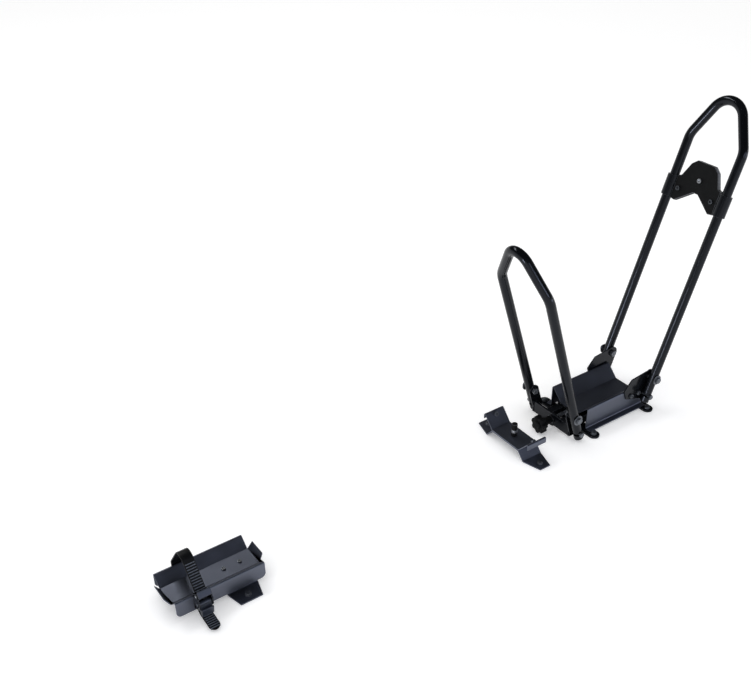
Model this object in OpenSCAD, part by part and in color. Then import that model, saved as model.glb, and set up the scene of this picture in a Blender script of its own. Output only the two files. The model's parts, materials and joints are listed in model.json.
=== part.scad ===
// Roof mounted bike carrier: a front wheel clamp with two hoops, a middle saddle and a strapped rear tray.
// X points forward, Y to the left, Z up. The origin is the centre of the front clamp's feet on the slats.

/* [Feet] */
// Distance between the two foot bars of the front clamp
foot_pitch = 206; // [198:1:230]
// Distance across the front clamp between its foot bolts
foot_span = 195; // [190:1:220]
// Width of a foot bar
foot_bar_w = 32; // [26:1:34]
// Thickness of a foot bar
foot_bar_t = 5; // [3:0.5:7]
// Thread of every foot bolt
foot_bolt_d = 8; // [6:1:8]
// Reach of every foot bolt below the feet
foot_bolt_reach = 20; // [12:1:40]
// How much thinner a foot bolt's thread is than its shank
thread_under = 0.2; // [0.1:0.05:0.3]
// Thickness of a washer
washer_t = 1.6; // [1:0.2:2.4]

/* [Front cradle] */
// Length of the cradle
cradle_len = 213; // [205:1:225]
// Height at which the cradle's skirts and slopes would meet above its folded rims
cradle_rim_z = 75; // [68:1:80]
// Width of the cradle's flat floor
cradle_floor_w = 60; // [50:1:70]
// Width of the flanges along the cradle's lower edges
flange_w = 16; // [10:1:16]
// Thickness of the folded sheet
sheet_t = 2.5; // [1.5:0.5:3]
// Radius of every fold, on the face that the outline gives
fold_r = 4; // [3.5:0.5:5]

/* [Guide and screw] */
// Distance between the two guide rails
rail_pitch = 60; // [56:1:64]
// Width of a guide rail
rail_w = 22; // [16:1:24]
// Height of a guide rail
rail_h = 21; // [19:1:23]
// Wall of a guide rail
rail_wall = 2.5; // [1.5:0.5:4]
// Length of a guide rail
rail_len = 150; // [130:1:160]
// Wall of a guide sleeve
sleeve_wall = 3; // [2:0.5:4]
// Length of a guide sleeve
sleeve_len = 84; // [60:1:90]
// Gap between a guide rail and its sleeve
slide_gap = 0.35; // [0.3:0.05:0.5]
// Gap between the clamp screw and the cradle's floor
rod_gap = 1.2; // [0.6:0.1:2]
// Diameter of the clamp screw
rod_d = 10; // [8:0.5:10]
// Length of the clamp screw in front of the crossbar
rod_reach = 122; // [110:1:130]
// Running clearance round screws, pins and pivots
run_fit = 0.06; // [0.03:0.01:0.1]
// Length of the drive nut and its block
anchor_len = 20; // [14:1:24]
// Outer diameter of the drive nut
drive_nut_d = 18; // [15:1:20]

/* [Carriage] */
// Place of the crossbar behind the origin
crossbar_x = -168.5; // [-172:0.5:-168]
// Thickness of the crossbar
crossbar_t = 7; // [4:0.5:7]
// Height of the crossbar's top edge
crossbar_top_z = 46; // [42:1:56]
// Height of the crossbar's bottom edge
crossbar_low_z = 12; // [9:0.5:14]
// Radius of the crossbar's boss round the clamp screw
boss_r = 20; // [14:1:22]
// Radius of the lug round the rear hoop's bolts
lug_r = 16; // [14:1:17]
// Thickness of a lug and of a leg bracket
lug_t = 4; // [3:0.5:5]
// Outer diameter of the screw bush
bush_d = 15; // [13:0.5:16]
// Diameter of the screw bush's flange
bush_flange_d = 24; // [20:1:28]
// Thickness of the screw bush's flange
bush_flange_t = 2; // [1:0.5:3]

/* [Knob] */
// Diameter of the knob over its lobes
knob_d = 50; // [40:1:50]
// Thickness of the knob's rim
knob_t = 18; // [12:1:24]
// Number of lobes
knob_lobes = 7; // [5:1:9]
// Radius of the hollows between the lobes
knob_hollow_r = 8; // [6:0.5:9]
// Depth of the hollows between the lobes
knob_hollow_depth = 4; // [2:0.5:5]
// Diameter of the knob's rear cap
knob_cap_d = 26; // [18:1:30]
// Height of the knob's rear cap
knob_cap_t = 4; // [2:0.5:6]
// Depth of the screw's seat in the knob
knob_seat = 12; // [8:1:16]
// Diameter of the hub between knob and crossbar
hub_d = 22; // [18:1:26]
// Length of the hub
hub_len = 29; // [24:1:34]
// Diameter of the retaining collar in front of the crossbar
collar_d = 18; // [16:1:22]
// Length of the retaining collar
collar_len = 9; // [6:1:12]

/* [Hoops] */
// Outer diameter of the hoop tube
tube_d = 25.4; // [22:0.2:26]
// Wall of the hoop tube
tube_wall = 2; // [1.5:0.25:3]
// Distance between the legs of a hoop
leg_span = 176; // [160:1:192]
// Gap between a leg and the plate that carries it
leg_gap = 1.3; // [1:0.1:2]
// Radius of the shoulder bends
shoulder_r = 60; // [40:1:80]
// Forward lean of the front hoop
front_lean = 20; // [14:0.1:22]
// Place of the front hoop's pivot ahead of the origin
front_pivot_x = 121.7; // [118:0.1:126]
// Height of the front hoop's pivot
front_pivot_z = 93; // [88:1:98]
// Distance along the leg from the pivot to the front shoulder
front_shoulder = 639; // [610:1:650]
// Distance along the leg from the pivot to the front hoop's top
front_top = 749; // [735:1:780]
// Radius of the front hoop's round top
front_top_r = 52; // [40:1:56]
// Distance down the leg from the pivot to the front lock bolt
front_lock = 53; // [50:1:56]
// Backward lean of the rear hoop
rear_lean = 17.8; // [14:0.1:20]
// Place of the rear hoop's pivot
rear_pivot_x = -173.8; // [-175:0.1:-172]
// Height of the rear hoop's pivot
rear_pivot_z = 82; // [82:0.5:86]
// Distance along the leg from the pivot to the rear shoulder
rear_shoulder = 411; // [380:1:430]
// Distance along the leg from the pivot to the rear hoop's top
rear_top = 520; // [510:1:545]
// Radius of the rear hoop's round top
rear_top_r = 39; // [30:1:44]
// Distance down the leg from the pivot to the rear lock bolt
rear_lock = 57; // [54:1:58]
// Length of leg below the lock bolt
leg_tail = 17; // [14:1:17]
// Thread of the hoop pivots
pivot_d = 10; // [8:1:10]
// Thread of the hoop lock bolts
lock_d = 8; // [6:1:8]
// Outer diameter of the pivot bushes in the legs
leg_bush_d = 15; // [13:0.5:16]
// How far a pivot bush stands proud of the leg
bush_proud = 0.6; // [0.4:0.1:1.5]
// Gap between faces that turn past each other
face_gap = 0.3; // [0.3:0.05:0.5]
// Gap between the lock bolt and the slot in the leg
slot_gap = 0.35; // [0.3:0.05:0.5]
// Diameter of the large washer on the front pivots
disc_d = 28; // [22:1:30]
// Thickness of the plugs' caps in the leg ends
plug_cap_t = 2; // [1:0.5:2]
// Depth of the plugs in the leg ends
plug_depth = 6; // [4:0.5:7]

/* [Leg brackets] */
// Radius of the bracket round the front hoop's bolts
bracket_r = 19; // [16:1:20]
// Rear end of the bracket along the cradle's rim
bracket_rear_x = 28; // [20:1:36]
// How far the bracket's lower edge starts ahead of its rear end
bracket_step = 10; // [6:1:16]
// Height of the bracket's lower rear corner
bracket_low_z = 46; // [38:1:46]
// How far the bracket's top edge starts ahead of its rear end
bracket_rise = 26; // [20:1:34]
// Height of the bracket's top rear corner
bracket_top_z = 104; // [96:1:110]
// Thread of the bolts that hold a bracket to the cradle
bracket_bolt_d = 8; // [6:1:8]
// Place of the rear bracket bolts
bracket_bolt_rear = 56; // [52:1:60]
// Place of the front bracket bolts
bracket_bolt_front = 84; // [78:1:86]
// Height of the bracket bolts
bracket_bolt_z = 51; // [50:0.5:52]

/* [Wheel stop] */
// Distance along the legs from the pivot to the middle of the stop's sleeves
stop_at = 497; // [460:1:520]
// Length of a stop sleeve
stop_sleeve_len = 57; // [50:1:62]
// Wall of a stop sleeve
stop_sleeve_wall = 3; // [2:0.5:4]
// Wall of the plastic liner in a sleeve
liner_wall = 1.5; // [1:0.25:2]
// Thickness of the stop plate
stop_t = 14; // [8:0.5:15]
// Width of the stop plate's top edge
stop_top_w = 56; // [46:1:64]
// Height of the stop plate's top edge above the sleeves' middle
stop_top = 86; // [80:1:92]
// Width of the stop plate at its shoulders
stop_shoulder_w = 88; // [80:1:96]
// Height of those shoulders above the sleeves' middle
stop_shoulder = 73; // [68:1:78]
// Width of the stop plate at its hips, above the sleeves
stop_hip_w = 124; // [118:1:130]
// Height of the hips above the sleeves' middle
stop_hip = 35; // [32:1:40]
// Radius of the stop plate's corners
stop_corner_r = 8; // [4:1:10]
// Width of the stop plate's lower points
stop_foot_w = 114; // [106:1:118]
// Depth of the lower points below the sleeves' middle
stop_foot = 33; // [30:1:38]
// Height of the tyre notch above the sleeves' middle
stop_notch = 3; // [-4:1:10]
// Width of the flat at the top of the tyre notch
stop_notch_w = 16; // [8:1:24]
// Thread of the stop's bolts
stop_bolt_d = 8; // [6:1:8]
// Height of the centre bolt above the sleeves' middle
stop_bolt_up = 38; // [30:1:44]
// Distance between the stop's side bolts
stop_bolt_span = 112; // [104:1:114]

/* [Middle saddle] */
// Place of the saddle's centre
saddle_x = -303; // [-320:1:-300]
// Width of the saddle along the rack
saddle_len = 63; // [54:1:66]
// Width of the saddle's flat floor
saddle_floor_w = 106; // [98:1:112]
// Width of the saddle over its ears
saddle_w = 178; // [172:1:184]
// Height at which the ears and their lips would meet above the folds
saddle_rim_z = 69; // [62:1:72]
// Depth of the lips below that
saddle_lip = 22; // [18:1:26]
// Thickness of the foot brackets under saddle and tray
hat_t = 3; // [2:0.5:4]
// Height of the saddle bracket's platform
saddle_hat_z = 26.5; // [24:0.5:30]
// Distance between the saddle bracket's inner foot edges
saddle_foot_in = 148; // [142:1:154]
// Distance over the saddle bracket's feet
saddle_foot_out = 252; // [246:1:260]
// Width of the saddle bracket's foot tips
saddle_tip = 34; // [28:1:44]
// Distance between the saddle's foot bolts
saddle_bolt_span = 210; // [204:1:216]
// Thread of the saddle's stud
stud_d = 10; // [8:1:10]
// Diameter of the stud's spacer and cap
stud_cap_d = 16; // [14:1:20]
// Length of the spacer on the stud
stud_spacer_len = 12; // [8:1:16]
// Length of the stud in its cap
stud_cap_len = 16; // [12:1:20]
// Thread of the ear bolts
ear_bolt_d = 8; // [5:1:8]
// Distance of the ear bolts up the ear from the floor
ear_bolt_up = 34; // [28:1:36]

/* [Rear tray] */
// Place of the rear tray's centre
tray_x = -1188; // [-1240:1:-1100]
// Length of the tray's skirts
tray_len = 215; // [205:1:230]
// Width of the tray over its skirts
tray_w = 114; // [110:1:120]
// Height at which the tray's skirts and slopes would meet above its folded rims
tray_rim_z = 61.5; // [57:0.5:65]
// Height of the skirts' lower edges
tray_skirt_z = 15; // [12:1:18]
// Width of the tray's flat floor
tray_floor_w = 56; // [52:1:62]
// Height of the tray's floor
tray_floor_z = 34; // [31:0.5:36]
// Radius of the skirts' lower corners
tray_corner_r = 12; // [8:1:16]
// Reach of the bent up ends past the skirts
tray_end_reach = 12; // [8:1:16]
// Height of the bent up ends
tray_end_z = 54; // [48:1:56]
// Width of the bent up ends at the top
tray_end_w = 48; // [36:1:52]
// Place of the tray's bracket ahead of the tray's centre
tray_hat_x = 53; // [44:1:60]
// Width of the tray's bracket along the rack
tray_hat_len = 75; // [66:1:80]
// Width of the tray bracket's platform
tray_hat_top_w = 52; // [46:1:52]
// Distance between the tray bracket's inner foot edges
tray_foot_in = 96; // [92:1:100]
// Distance over the tray bracket's feet
tray_foot_out = 182; // [176:1:190]
// Width of the tray bracket's foot tips
tray_tip = 54; // [44:1:60]
// Distance between the tray's foot bolts
tray_bolt_span = 144; // [140:1:148]
// Distance between the two bolts that hold the tray to its bracket
tray_bolt_pitch = 40; // [32:1:46]
// Thread of those bolts
tray_bolt_d = 6; // [5:1:8]

/* [Strap and buckle] */
// Place of the strap behind the tray's centre
strap_x = -50; // [-60:1:-36]
// Width of the strap
strap_w = 26; // [22:1:26]
// Thickness of the strap's band
strap_t = 3; // [2:0.25:3]
// Height of the strap's ridges
ridge_h = 1.2; // [0.8:0.1:1.4]
// Pitch of the strap's ridges
ridge_pitch = 6; // [5:0.5:9]
// Width of a ridge along the strap
ridge_w = 2.25; // [2:0.25:4]
// Margin of bare band beside the ridges
ridge_margin = 2; // [1:0.5:4]
// Length of bare band from the anchored end to the first ridge
ridge_start = 160; // [60:5:180]
// Height at which the strap's two slanting runs would meet above its round top
strap_top_z = 145; // [130:1:155]
// Radius of the strap over the rim
strap_top_r = 22; // [16:1:26]
// Radius of the strap's other bends
strap_bend_r = 14; // [10:1:18]
// Height at which the strap turns in from the skirts
strap_turn_z = 66; // [64:1:76]
// Height of the strap's anchored end
strap_end_z = 24; // [20:1:28]
// Height at which the tail turns out
tail_turn_z = 14; // [12:1:16]
// Reach of the strap's tail from the skirt
tail_reach = 62; // [50:1:66]
// Height of the tail's end
tail_end_z = 7; // [6:0.5:8]
// Width of the buckle's frame
buckle_w = 34; // [32:1:38]
// Thickness of the buckle's metal
buckle_t = 2.5; // [1.5:0.25:2.5]
// Height of the buckle frame's lower edge
buckle_low_z = 21; // [19:1:24]
// Height of the buckle frame's upper edge
buckle_top_z = 66; // [62:1:68]
// Depth of the buckle's cheeks
buckle_depth = 31; // [28:1:33]
// Height of the lower points of the buckle's cheeks
cheek_low_z = 28; // [26:1:34]
// Gap between the buckle's plate and the strap
strap_gap = 3; // [2.75:0.25:3.25]
// Diameter of the buckle's pins
pin_d = 4; // [3:0.5:4]
// Distance of the lever's pin from the skirt
lever_pin_out = 20; // [18:0.25:21]
// Height of the lever's pin
lever_pin_z = 47; // [45:0.5:49]
// Radius of the lever's hub
lever_hub_r = 5.5; // [4.5:0.25:6]
// Length of the lever
lever_len = 29; // [26:1:30]
// Thickness of the lever
lever_t = 4; // [3:0.25:4.5]
// Tilt of the lever away from the skirt
lever_tilt = 20; // [14:1:24]
// Length of the lip that is curled back up at the lever's end
lip_len = 18; // [14:1:20]
// Lean of that lip away from the skirt
lip_lean = 10; // [4:1:16]
// Distance of the pawl's pin from the skirt
pawl_pin_out = 17.5; // [16.5:0.25:18.5]
// Height of the pawl's pin
pawl_pin_z = 69; // [68:0.5:70]
// Radius of the pawl's hub
pawl_hub_r = 4; // [3.2:0.1:4.5]
// Thickness of the pawl's arm and tooth
pawl_t = 2.4; // [1.5:0.1:3]
// Drop of the pawl's tooth below its pin
pawl_drop = 5; // [3:0.25:6]
// Width of the pawl's thumb cap
cap_w = 31; // [26:1:34]
// Thickness of the thumb cap
cap_t = 4; // [3:0.25:4.5]
// Distance of the cap's front edge from the skirt
cap_front_out = 31; // [29:0.5:33]
// Height of the cap's front edge
cap_front_z = 74; // [72:0.5:76]
// Distance of the cap's back edge from the skirt
cap_back_out = 24; // [21:0.5:26]
// Height of the cap's back edge
cap_back_z = 84; // [80:0.5:88]
// Diameter of the rivets in buckle and anchor
rivet_d = 5; // [4:0.5:6]
// Height of a rivet's head
rivet_head_t = 1.2; // [0.8:0.1:1.5]

/* [Hidden] */
$fn = 64;
// Overlap that keeps a cut from ending on a face
eps = 1;
// Growth of the tube's radius in its bends, and the straight runs' reach into them
bend_swell = 0.05;
bend_lap = 1;
// Flats in each fold of a sheet
fold_steps = 6;
// Step between a bar's flanks and its round ends
link_ease = 0.04;
// Gap in a bolt's clearance hole, all round
hole_gap = 0.2;
// Colours of the coated steel, the bright and the dark plated fasteners, the plastic and the plain steel
coat = "#2b2e33";
zinc = "#c3c6ca";
dark_zinc = "#55585c";
plastic = "#1d1e20";
steel = "#8d9197";

leg_y = leg_span / 2;
tube_r = tube_d / 2;
side_y = leg_y - tube_r - leg_gap - lug_t;
cradle_w = 2 * side_y;
bore_r = tube_r - tube_wall;
sleeve_w = rail_w + 2 * (slide_gap + sleeve_wall);
sleeve_h = rail_h + 2 * (slide_gap + sleeve_wall);
sleeve_top_z = foot_bar_t + sleeve_h;
rail_z = foot_bar_t + sleeve_h / 2;
cradle_floor_z = sleeve_top_z + sheet_t;
rod_z = sleeve_top_z - rod_gap - rod_d / 2;
screw_block_x = (anchor_len - cradle_len) / 2;
crossbar_back = crossbar_x - crossbar_t / 2;
crossbar_front = crossbar_x + crossbar_t / 2;
hub_x = crossbar_back - bush_flange_t - face_gap;
knob_x = hub_x - hub_len;
front_pivot = [front_pivot_x, front_pivot_z];
rear_pivot = [rear_pivot_x, rear_pivot_z];
front_lock_at = front_pivot - front_lock * [sin(front_lean), cos(front_lean)];
rear_lock_at = rear_pivot - rear_lock * [-sin(rear_lean), cos(rear_lean)];
bush_in = side_y + lug_t + face_gap;
bush_out = leg_y + tube_r + bush_proud;
liner_r = tube_r + run_fit + liner_wall;
stop_sleeve_r = liner_r + stop_sleeve_wall;
saddle_floor_z = saddle_hat_z + sheet_t;
stud_low_z = saddle_hat_z - hat_t - nut_h(stud_d);
stud_nut_z = saddle_floor_z + stud_spacer_len;
stud_cap_z = stud_nut_z + nut_h(stud_d);
tray_hat_z = tray_floor_z - sheet_t;
tray_side = tray_w / 2;
strap_y = tray_side + buckle_t + strap_gap + strap_t / 2;
anchor_y = tray_side + strap_t / 2;

// Sizes of hexagon fasteners from their thread
function across_flats(d) = 1.5 * d + 1;
function hex_r(d) = across_flats(d) / sqrt(3);
function head_h(d) = 0.65 * d;
function nut_h(d) = 0.8 * d;
function washer_r(d) = d;
function round_head_r(d) = 0.8 * d;
function socket_r(d) = d / 3;
function hole_r(d) = d / 2 + hole_gap;

// Paths in a plane: unit vectors, mitred offsets and rounded corners
function unit(v) = v / norm(v);
function left(v) = [-v[1], v[0]];
function step_in(p, i) = unit(i > 0 ? p[i] - p[i - 1] : p[1] - p[0]);
function step_out(p, i) = unit(i < len(p) - 1 ? p[i + 1] - p[i] : p[i] - p[i - 1]);
function shifted(p, t) = [
    for (i = [0 : len(p) - 1])
        let (a = step_in(p, i), b = step_out(p, i))
        p[i] + t * (left(a) + left(b)) / (1 + a * b)
];
function reversed(p) = [for (i = [len(p) - 1 : -1 : 0]) p[i]];
function corner(p, i, r, n) =
    let (
        a = step_in(p, i),
        b = step_out(p, i),
        turn = acos(max(-1, min(1, a * b))),
        side = sign(a[0] * b[1] - a[1] * b[0]),
        start = p[i] - a * r * tan(turn / 2),
        centre = start + side * r * left(a)
    )
    [for (k = [0 : n]) let (q = turn * k / n) centre + r * (sin(q) * a - side * cos(q) * left(a))];
function rounded(p, radii, n) = [
    for (i = [0 : len(p) - 1])
        each (radii[i] > 0 ? corner(p, i, radii[i], n) : [p[i]])
];
function along(p, s, i = 0) =
    let (d = norm(p[i + 1] - p[i]), dir = unit(p[i + 1] - p[i]))
    s <= d || i == len(p) - 2 ? [p[i] + s * dir, dir] : along(p, s - d, i + 1);
function path_len(p) = len(p) < 2 ? 0 : norm(p[1] - p[0]) + path_len([for (i = [1 : len(p) - 1]) p[i]]);

// A line with every inner corner rounded
function folded(p, r) = rounded(p, [for (i = [0 : len(p) - 1]) i > 0 && i < len(p) - 1 ? r : 0], fold_steps);

// A strip's section, from the line of one of its faces
module strip(line, t) {
    polygon(concat(line, reversed(shifted(line, -t))));
}

// A folded sheet's section, from the sharp line of its outer faces
module folded_sheet(line, t) {
    strip(folded(line, fold_r), t);
}

// A bar with round ends between two points, whose flanks cross the ends instead of grazing them
module link(a, b, r) {
    flank = r - link_ease;
    translate(a) circle(r);
    translate(b) circle(r);
    translate(a)
        rotate(atan2(b[1] - a[1], b[0] - a[0]))
            translate([0, -flank])
                square([norm(b - a), 2 * flank]);
}

// Extrude a section drawn in Y and Z along X, about X = 0
module along_x(length) {
    rotate([90, 0, 90])
        linear_extrude(length, center = true)
            children();
}

// Extrude an outline drawn in X and Z outwards on the right side, from y_in
module right_plate(y_in, t) {
    translate([0, -y_in, 0])
        rotate([90, 0, 0])
            linear_extrude(t)
                children();
}

// Copy to the left side as well
module both_sides() {
    children();
    mirror([0, 1, 0]) children();
}

module left_side() {
    mirror([0, 1, 0]) children();
}

// Turn what points up so that it points out on the right side, at a place in X and Z
module outwards(at, y_in) {
    translate([at[0], -y_in, at[1]])
        rotate([90, 0, 0])
            children();
}

module ring(r_out, r_in, h) {
    difference() {
        cylinder(r = r_out, h = h);
        translate([0, 0, -eps]) cylinder(r = r_in, h = h + 2 * eps);
    }
}

// Hexagon bolt whose shank starts at the origin, with its head above the grip
module hex_bolt(d, grip) {
    cylinder(d = d, h = grip);
    translate([0, 0, grip]) cylinder(r = hex_r(d), h = head_h(d), $fn = 6);
}

// Round bolt with a hexagon socket in its head
module socket_bolt(d, grip) {
    cylinder(d = d, h = grip);
    translate([0, 0, grip]) difference() {
        cylinder(r = round_head_r(d), h = head_h(d));
        translate([0, 0, head_h(d) / 2]) cylinder(r = socket_r(d), h = head_h(d), $fn = 6);
    }
}

module hex_nut(d) {
    difference() {
        cylinder(r = hex_r(d), h = nut_h(d), $fn = 6);
        translate([0, 0, -eps]) cylinder(d = d, h = nut_h(d) + 2 * eps);
    }
}

module washer(d) {
    ring(washer_r(d), hole_r(d), washer_t);
}

// Front clamp base

flange_z = foot_bar_t + sheet_t;
cradle_line = [
    [-side_y - flange_w, flange_z], [-side_y, flange_z], [-side_y, cradle_rim_z],
    [-cradle_floor_w / 2, cradle_floor_z], [cradle_floor_w / 2, cradle_floor_z],
    [side_y, cradle_rim_z], [side_y, flange_z], [side_y + flange_w, flange_z]
];
bracket_bolt_at = [[bracket_bolt_rear, bracket_bolt_z], [bracket_bolt_front, bracket_bolt_z]];

module front_cradle() {
    color(coat) difference() {
        along_x(cradle_len) folded_sheet(cradle_line, sheet_t);
        at_front_feet() cylinder(r = washer_r(foot_bolt_d) + face_gap, h = cradle_rim_z);
        both_sides() {
            outwards(front_lock_at, side_y - 2 * sheet_t)
                cylinder(r = hex_r(lock_d) + sheet_t, h = 3 * sheet_t);
            for (at = bracket_bolt_at)
                outwards(at, side_y - 2 * sheet_t) cylinder(r = hole_r(bracket_bolt_d), h = 3 * sheet_t);
        }
    }
}

module foot_bar(x) {
    color(coat) translate([x, 0, 0]) linear_extrude(foot_bar_t) difference() {
        link([0, -foot_span / 2], [0, foot_span / 2], foot_bar_w / 2);
        for (y = [-1, 1] * foot_span / 2) translate([0, y]) circle(hole_r(foot_bolt_d));
    }
}

module rear_foot_bar() {
    foot_bar(-foot_pitch / 2);
}

module front_foot_bar() {
    foot_bar(foot_pitch / 2);
}

module at_front_feet() {
    for (x = [-1, 1] * foot_pitch / 2, y = [-1, 1] * foot_span / 2) translate([x, y, 0]) children();
}

// Foot bolt through a foot of a given thickness and its washer, with its thread below the foot
module foot_bolt(foot_t) {
    hex_bolt(foot_bolt_d, foot_t + washer_t);
    translate([0, 0, -foot_bolt_reach])
        cylinder(d = foot_bolt_d - thread_under, h = foot_bolt_reach + foot_t);
}

module foot_bolts() {
    color(dark_zinc) at_front_feet() foot_bolt(foot_bar_t);
}

module foot_washers() {
    color(dark_zinc) at_front_feet() translate([0, 0, foot_bar_t]) washer(foot_bolt_d);
}

module guide_sleeve_right() {
    color(coat)
        translate([-cradle_len / 2, -rail_pitch / 2, rail_z])
            rotate([90, 0, 90])
                linear_extrude(sleeve_len)
                    difference() {
                        square([sleeve_w, sleeve_h], center = true);
                        square([rail_w, rail_h] + 2 * slide_gap * [1, 1], center = true);
                    }
}

module guide_sleeve_left() {
    left_side() guide_sleeve_right();
}

// Block between the guide sleeves that holds the drive nut
module screw_block() {
    block_w = rail_pitch - sleeve_w;
    color(coat) translate([screw_block_x, 0, 0]) difference() {
        translate([-anchor_len / 2, -block_w / 2, foot_bar_t]) cube([anchor_len, block_w, sleeve_h]);
        translate([-anchor_len / 2 - eps, 0, rod_z])
            rotate([0, 90, 0])
                cylinder(d = drive_nut_d, h = anchor_len + 2 * eps);
        translate([-anchor_len, -drive_nut_d / 2, rod_z]) cube([2 * anchor_len, drive_nut_d, sleeve_h]);
    }
}

module drive_nut() {
    color(steel) intersection() {
        translate([screw_block_x - anchor_len / 2, 0, rod_z])
            rotate([0, 90, 0])
                ring(drive_nut_d / 2 - run_fit, rod_d / 2 + run_fit, anchor_len);
        translate([screw_block_x - anchor_len, -drive_nut_d, 0])
            cube([2 * anchor_len, 2 * drive_nut_d, sleeve_top_z]);
    }
}

bracket_line = [
    [bracket_rear_x, cradle_rim_z], [bracket_rear_x + bracket_step, bracket_low_z],
    front_lock_at - [0, bracket_r - eps], front_lock_at, front_pivot, front_pivot + [0, bracket_r - eps],
    [bracket_rear_x + bracket_rise, bracket_top_z]
];

module leg_bracket_right() {
    color(plastic) right_plate(side_y, lug_t) difference() {
        union() {
            polygon(bracket_line);
            link(front_lock_at, front_pivot, bracket_r);
        }
        translate(front_pivot) circle(hole_r(pivot_d));
        translate(front_lock_at) circle(hole_r(lock_d));
        for (at = bracket_bolt_at) translate(at) circle(hole_r(bracket_bolt_d));
    }
}

module leg_bracket_left() {
    left_side() leg_bracket_right();
}

module bracket_bolts() {
    grip = nut_h(bracket_bolt_d) + sheet_t + lug_t;
    color(dark_zinc) both_sides() for (at = bracket_bolt_at)
        outwards(at, side_y + lug_t - grip) socket_bolt(bracket_bolt_d, grip);
}

module bracket_nuts() {
    color(dark_zinc) both_sides() for (at = bracket_bolt_at)
        outwards(at, side_y - sheet_t - nut_h(bracket_bolt_d)) hex_nut(bracket_bolt_d);
}

// Bolts, washers and nuts across a hoop's legs, for the front and the rear hoop

module pivot_bolts(at) {
    y_in = side_y - nut_h(pivot_d);
    color(dark_zinc) both_sides() outwards(at, y_in)
        hex_bolt(pivot_d, bush_out + face_gap + washer_t - y_in);
}

module pivot_discs(at) {
    color(dark_zinc) both_sides() outwards(at, bush_out + face_gap)
        ring(disc_d / 2, hole_r(pivot_d), washer_t);
}

module pivot_nuts(at) {
    color(dark_zinc) both_sides() outwards(at, side_y - nut_h(pivot_d)) hex_nut(pivot_d);
}

module lock_bolts(at) {
    y_in = side_y - nut_h(lock_d);
    color(dark_zinc) both_sides() outwards(at, y_in) hex_bolt(lock_d, bush_out + face_gap - y_in);
}

module lock_nuts(at) {
    color(dark_zinc) both_sides() outwards(at, side_y - nut_h(lock_d)) hex_nut(lock_d);
}

module front_pivot_bolts() {
    pivot_bolts(front_pivot);
}

module front_pivot_discs() {
    pivot_discs(front_pivot);
}

module front_pivot_nuts() {
    pivot_nuts(front_pivot);
}

module front_lock_bolts() {
    lock_bolts(front_lock_at);
}

module front_lock_nuts() {
    lock_nuts(front_lock_at);
}

// Hoops, drawn upright about their pivots and then leaned

// Angle between a leg and the flank that runs from its shoulder to the hoop's round top
function flank_angle(shoulder, top, top_r) =
    let (rise = top - top_r - shoulder)
    90 - atan2(rise, leg_y) - asin(top_r / norm([leg_y, rise]));

module bend(r, bend_r, start, sweep) {
    rotate([90, 0, 90])
        rotate(start)
            rotate_extrude(angle = sweep)
                translate([bend_r, 0])
                    circle(r + bend_swell);
}

// Round bar along a hoop's line, whose straight runs reach a little way into the swollen bends
module hoop_bar(r, shoulder, top, top_r, tail) {
    lean_in = flank_angle(shoulder, top, top_r);
    bend_z = shoulder - shoulder_r * tan(lean_in / 2);
    out = [cos(lean_in), sin(lean_in)];
    flank_from = [leg_y - shoulder_r, bend_z] + shoulder_r * out;
    flank_to = [0, top - top_r] + top_r * out;
    both_sides() {
        translate([0, leg_y, -tail]) cylinder(r = r, h = tail + bend_z + bend_lap);
        translate([0, leg_y - shoulder_r, bend_z]) bend(r, shoulder_r, 0, lean_in);
        translate([0, flank_from[0], flank_from[1]])
            rotate([lean_in, 0, 0])
                translate([0, 0, -bend_lap])
                    cylinder(r = r, h = norm(flank_to - flank_from) + 2 * bend_lap);
    }
    translate([0, 0, top - top_r]) bend(r, top_r, lean_in, 180 - 2 * lean_in);
}

// Slot in the back of a leg that lets it swing off its lock bolt, on a circle about the pivot
module lock_slot(lock) {
    slot_r = lock_d / 2 + slot_gap;
    reach = 2 * tube_d;
    translate([0, leg_y + tube_d, 0]) rotate([90, 0, 0]) {
        translate([0, -lock, 0]) cylinder(r = slot_r, h = reach);
        intersection() {
            difference() {
                cylinder(r = lock + slot_r, h = reach);
                translate([0, 0, -eps]) cylinder(r = lock - slot_r, h = reach + 2 * eps);
            }
            translate([-tube_d, -lock - tube_d, -eps]) cube([tube_d, 2 * tube_d, reach + 2 * eps]);
        }
    }
}

module hoop(shoulder, top, top_r, lock) {
    color(coat) difference() {
        hoop_bar(tube_r, shoulder, top, top_r, lock + leg_tail);
        hoop_bar(bore_r, shoulder, top, top_r, lock + leg_tail + eps);
        both_sides() {
            lock_slot(lock);
            translate([0, leg_y + tube_d, 0])
                rotate([90, 0, 0])
                    cylinder(d = leg_bush_d, h = 2 * tube_d);
        }
    }
}

module hoop_bushes() {
    color(steel) both_sides() outwards([0, 0], bush_in)
        ring(leg_bush_d / 2, pivot_d / 2 + run_fit, bush_out - bush_in);
}

module hoop_plugs(lock) {
    color(plastic) both_sides() translate([0, leg_y, -lock - leg_tail]) {
        cylinder(r = bore_r, h = plug_depth);
        translate([0, 0, -plug_cap_t]) cylinder(r = tube_r, h = plug_cap_t);
    }
}

module at_front_hoop() {
    translate([front_pivot_x, 0, front_pivot_z]) rotate([0, front_lean, 0]) children();
}

module at_rear_hoop() {
    translate([rear_pivot_x, 0, rear_pivot_z]) rotate([0, -rear_lean, 0]) children();
}

module front_hoop() {
    at_front_hoop() hoop(front_shoulder, front_top, front_top_r, front_lock);
}

module front_hoop_bushes() {
    at_front_hoop() hoop_bushes();
}

module front_hoop_plugs() {
    at_front_hoop() hoop_plugs(front_lock);
}

module rear_hoop() {
    at_rear_hoop() hoop(rear_shoulder, rear_top, rear_top_r, rear_lock);
}

module rear_hoop_bushes() {
    at_rear_hoop() hoop_bushes();
}

module rear_hoop_plugs() {
    at_rear_hoop() hoop_plugs(rear_lock);
}

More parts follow.
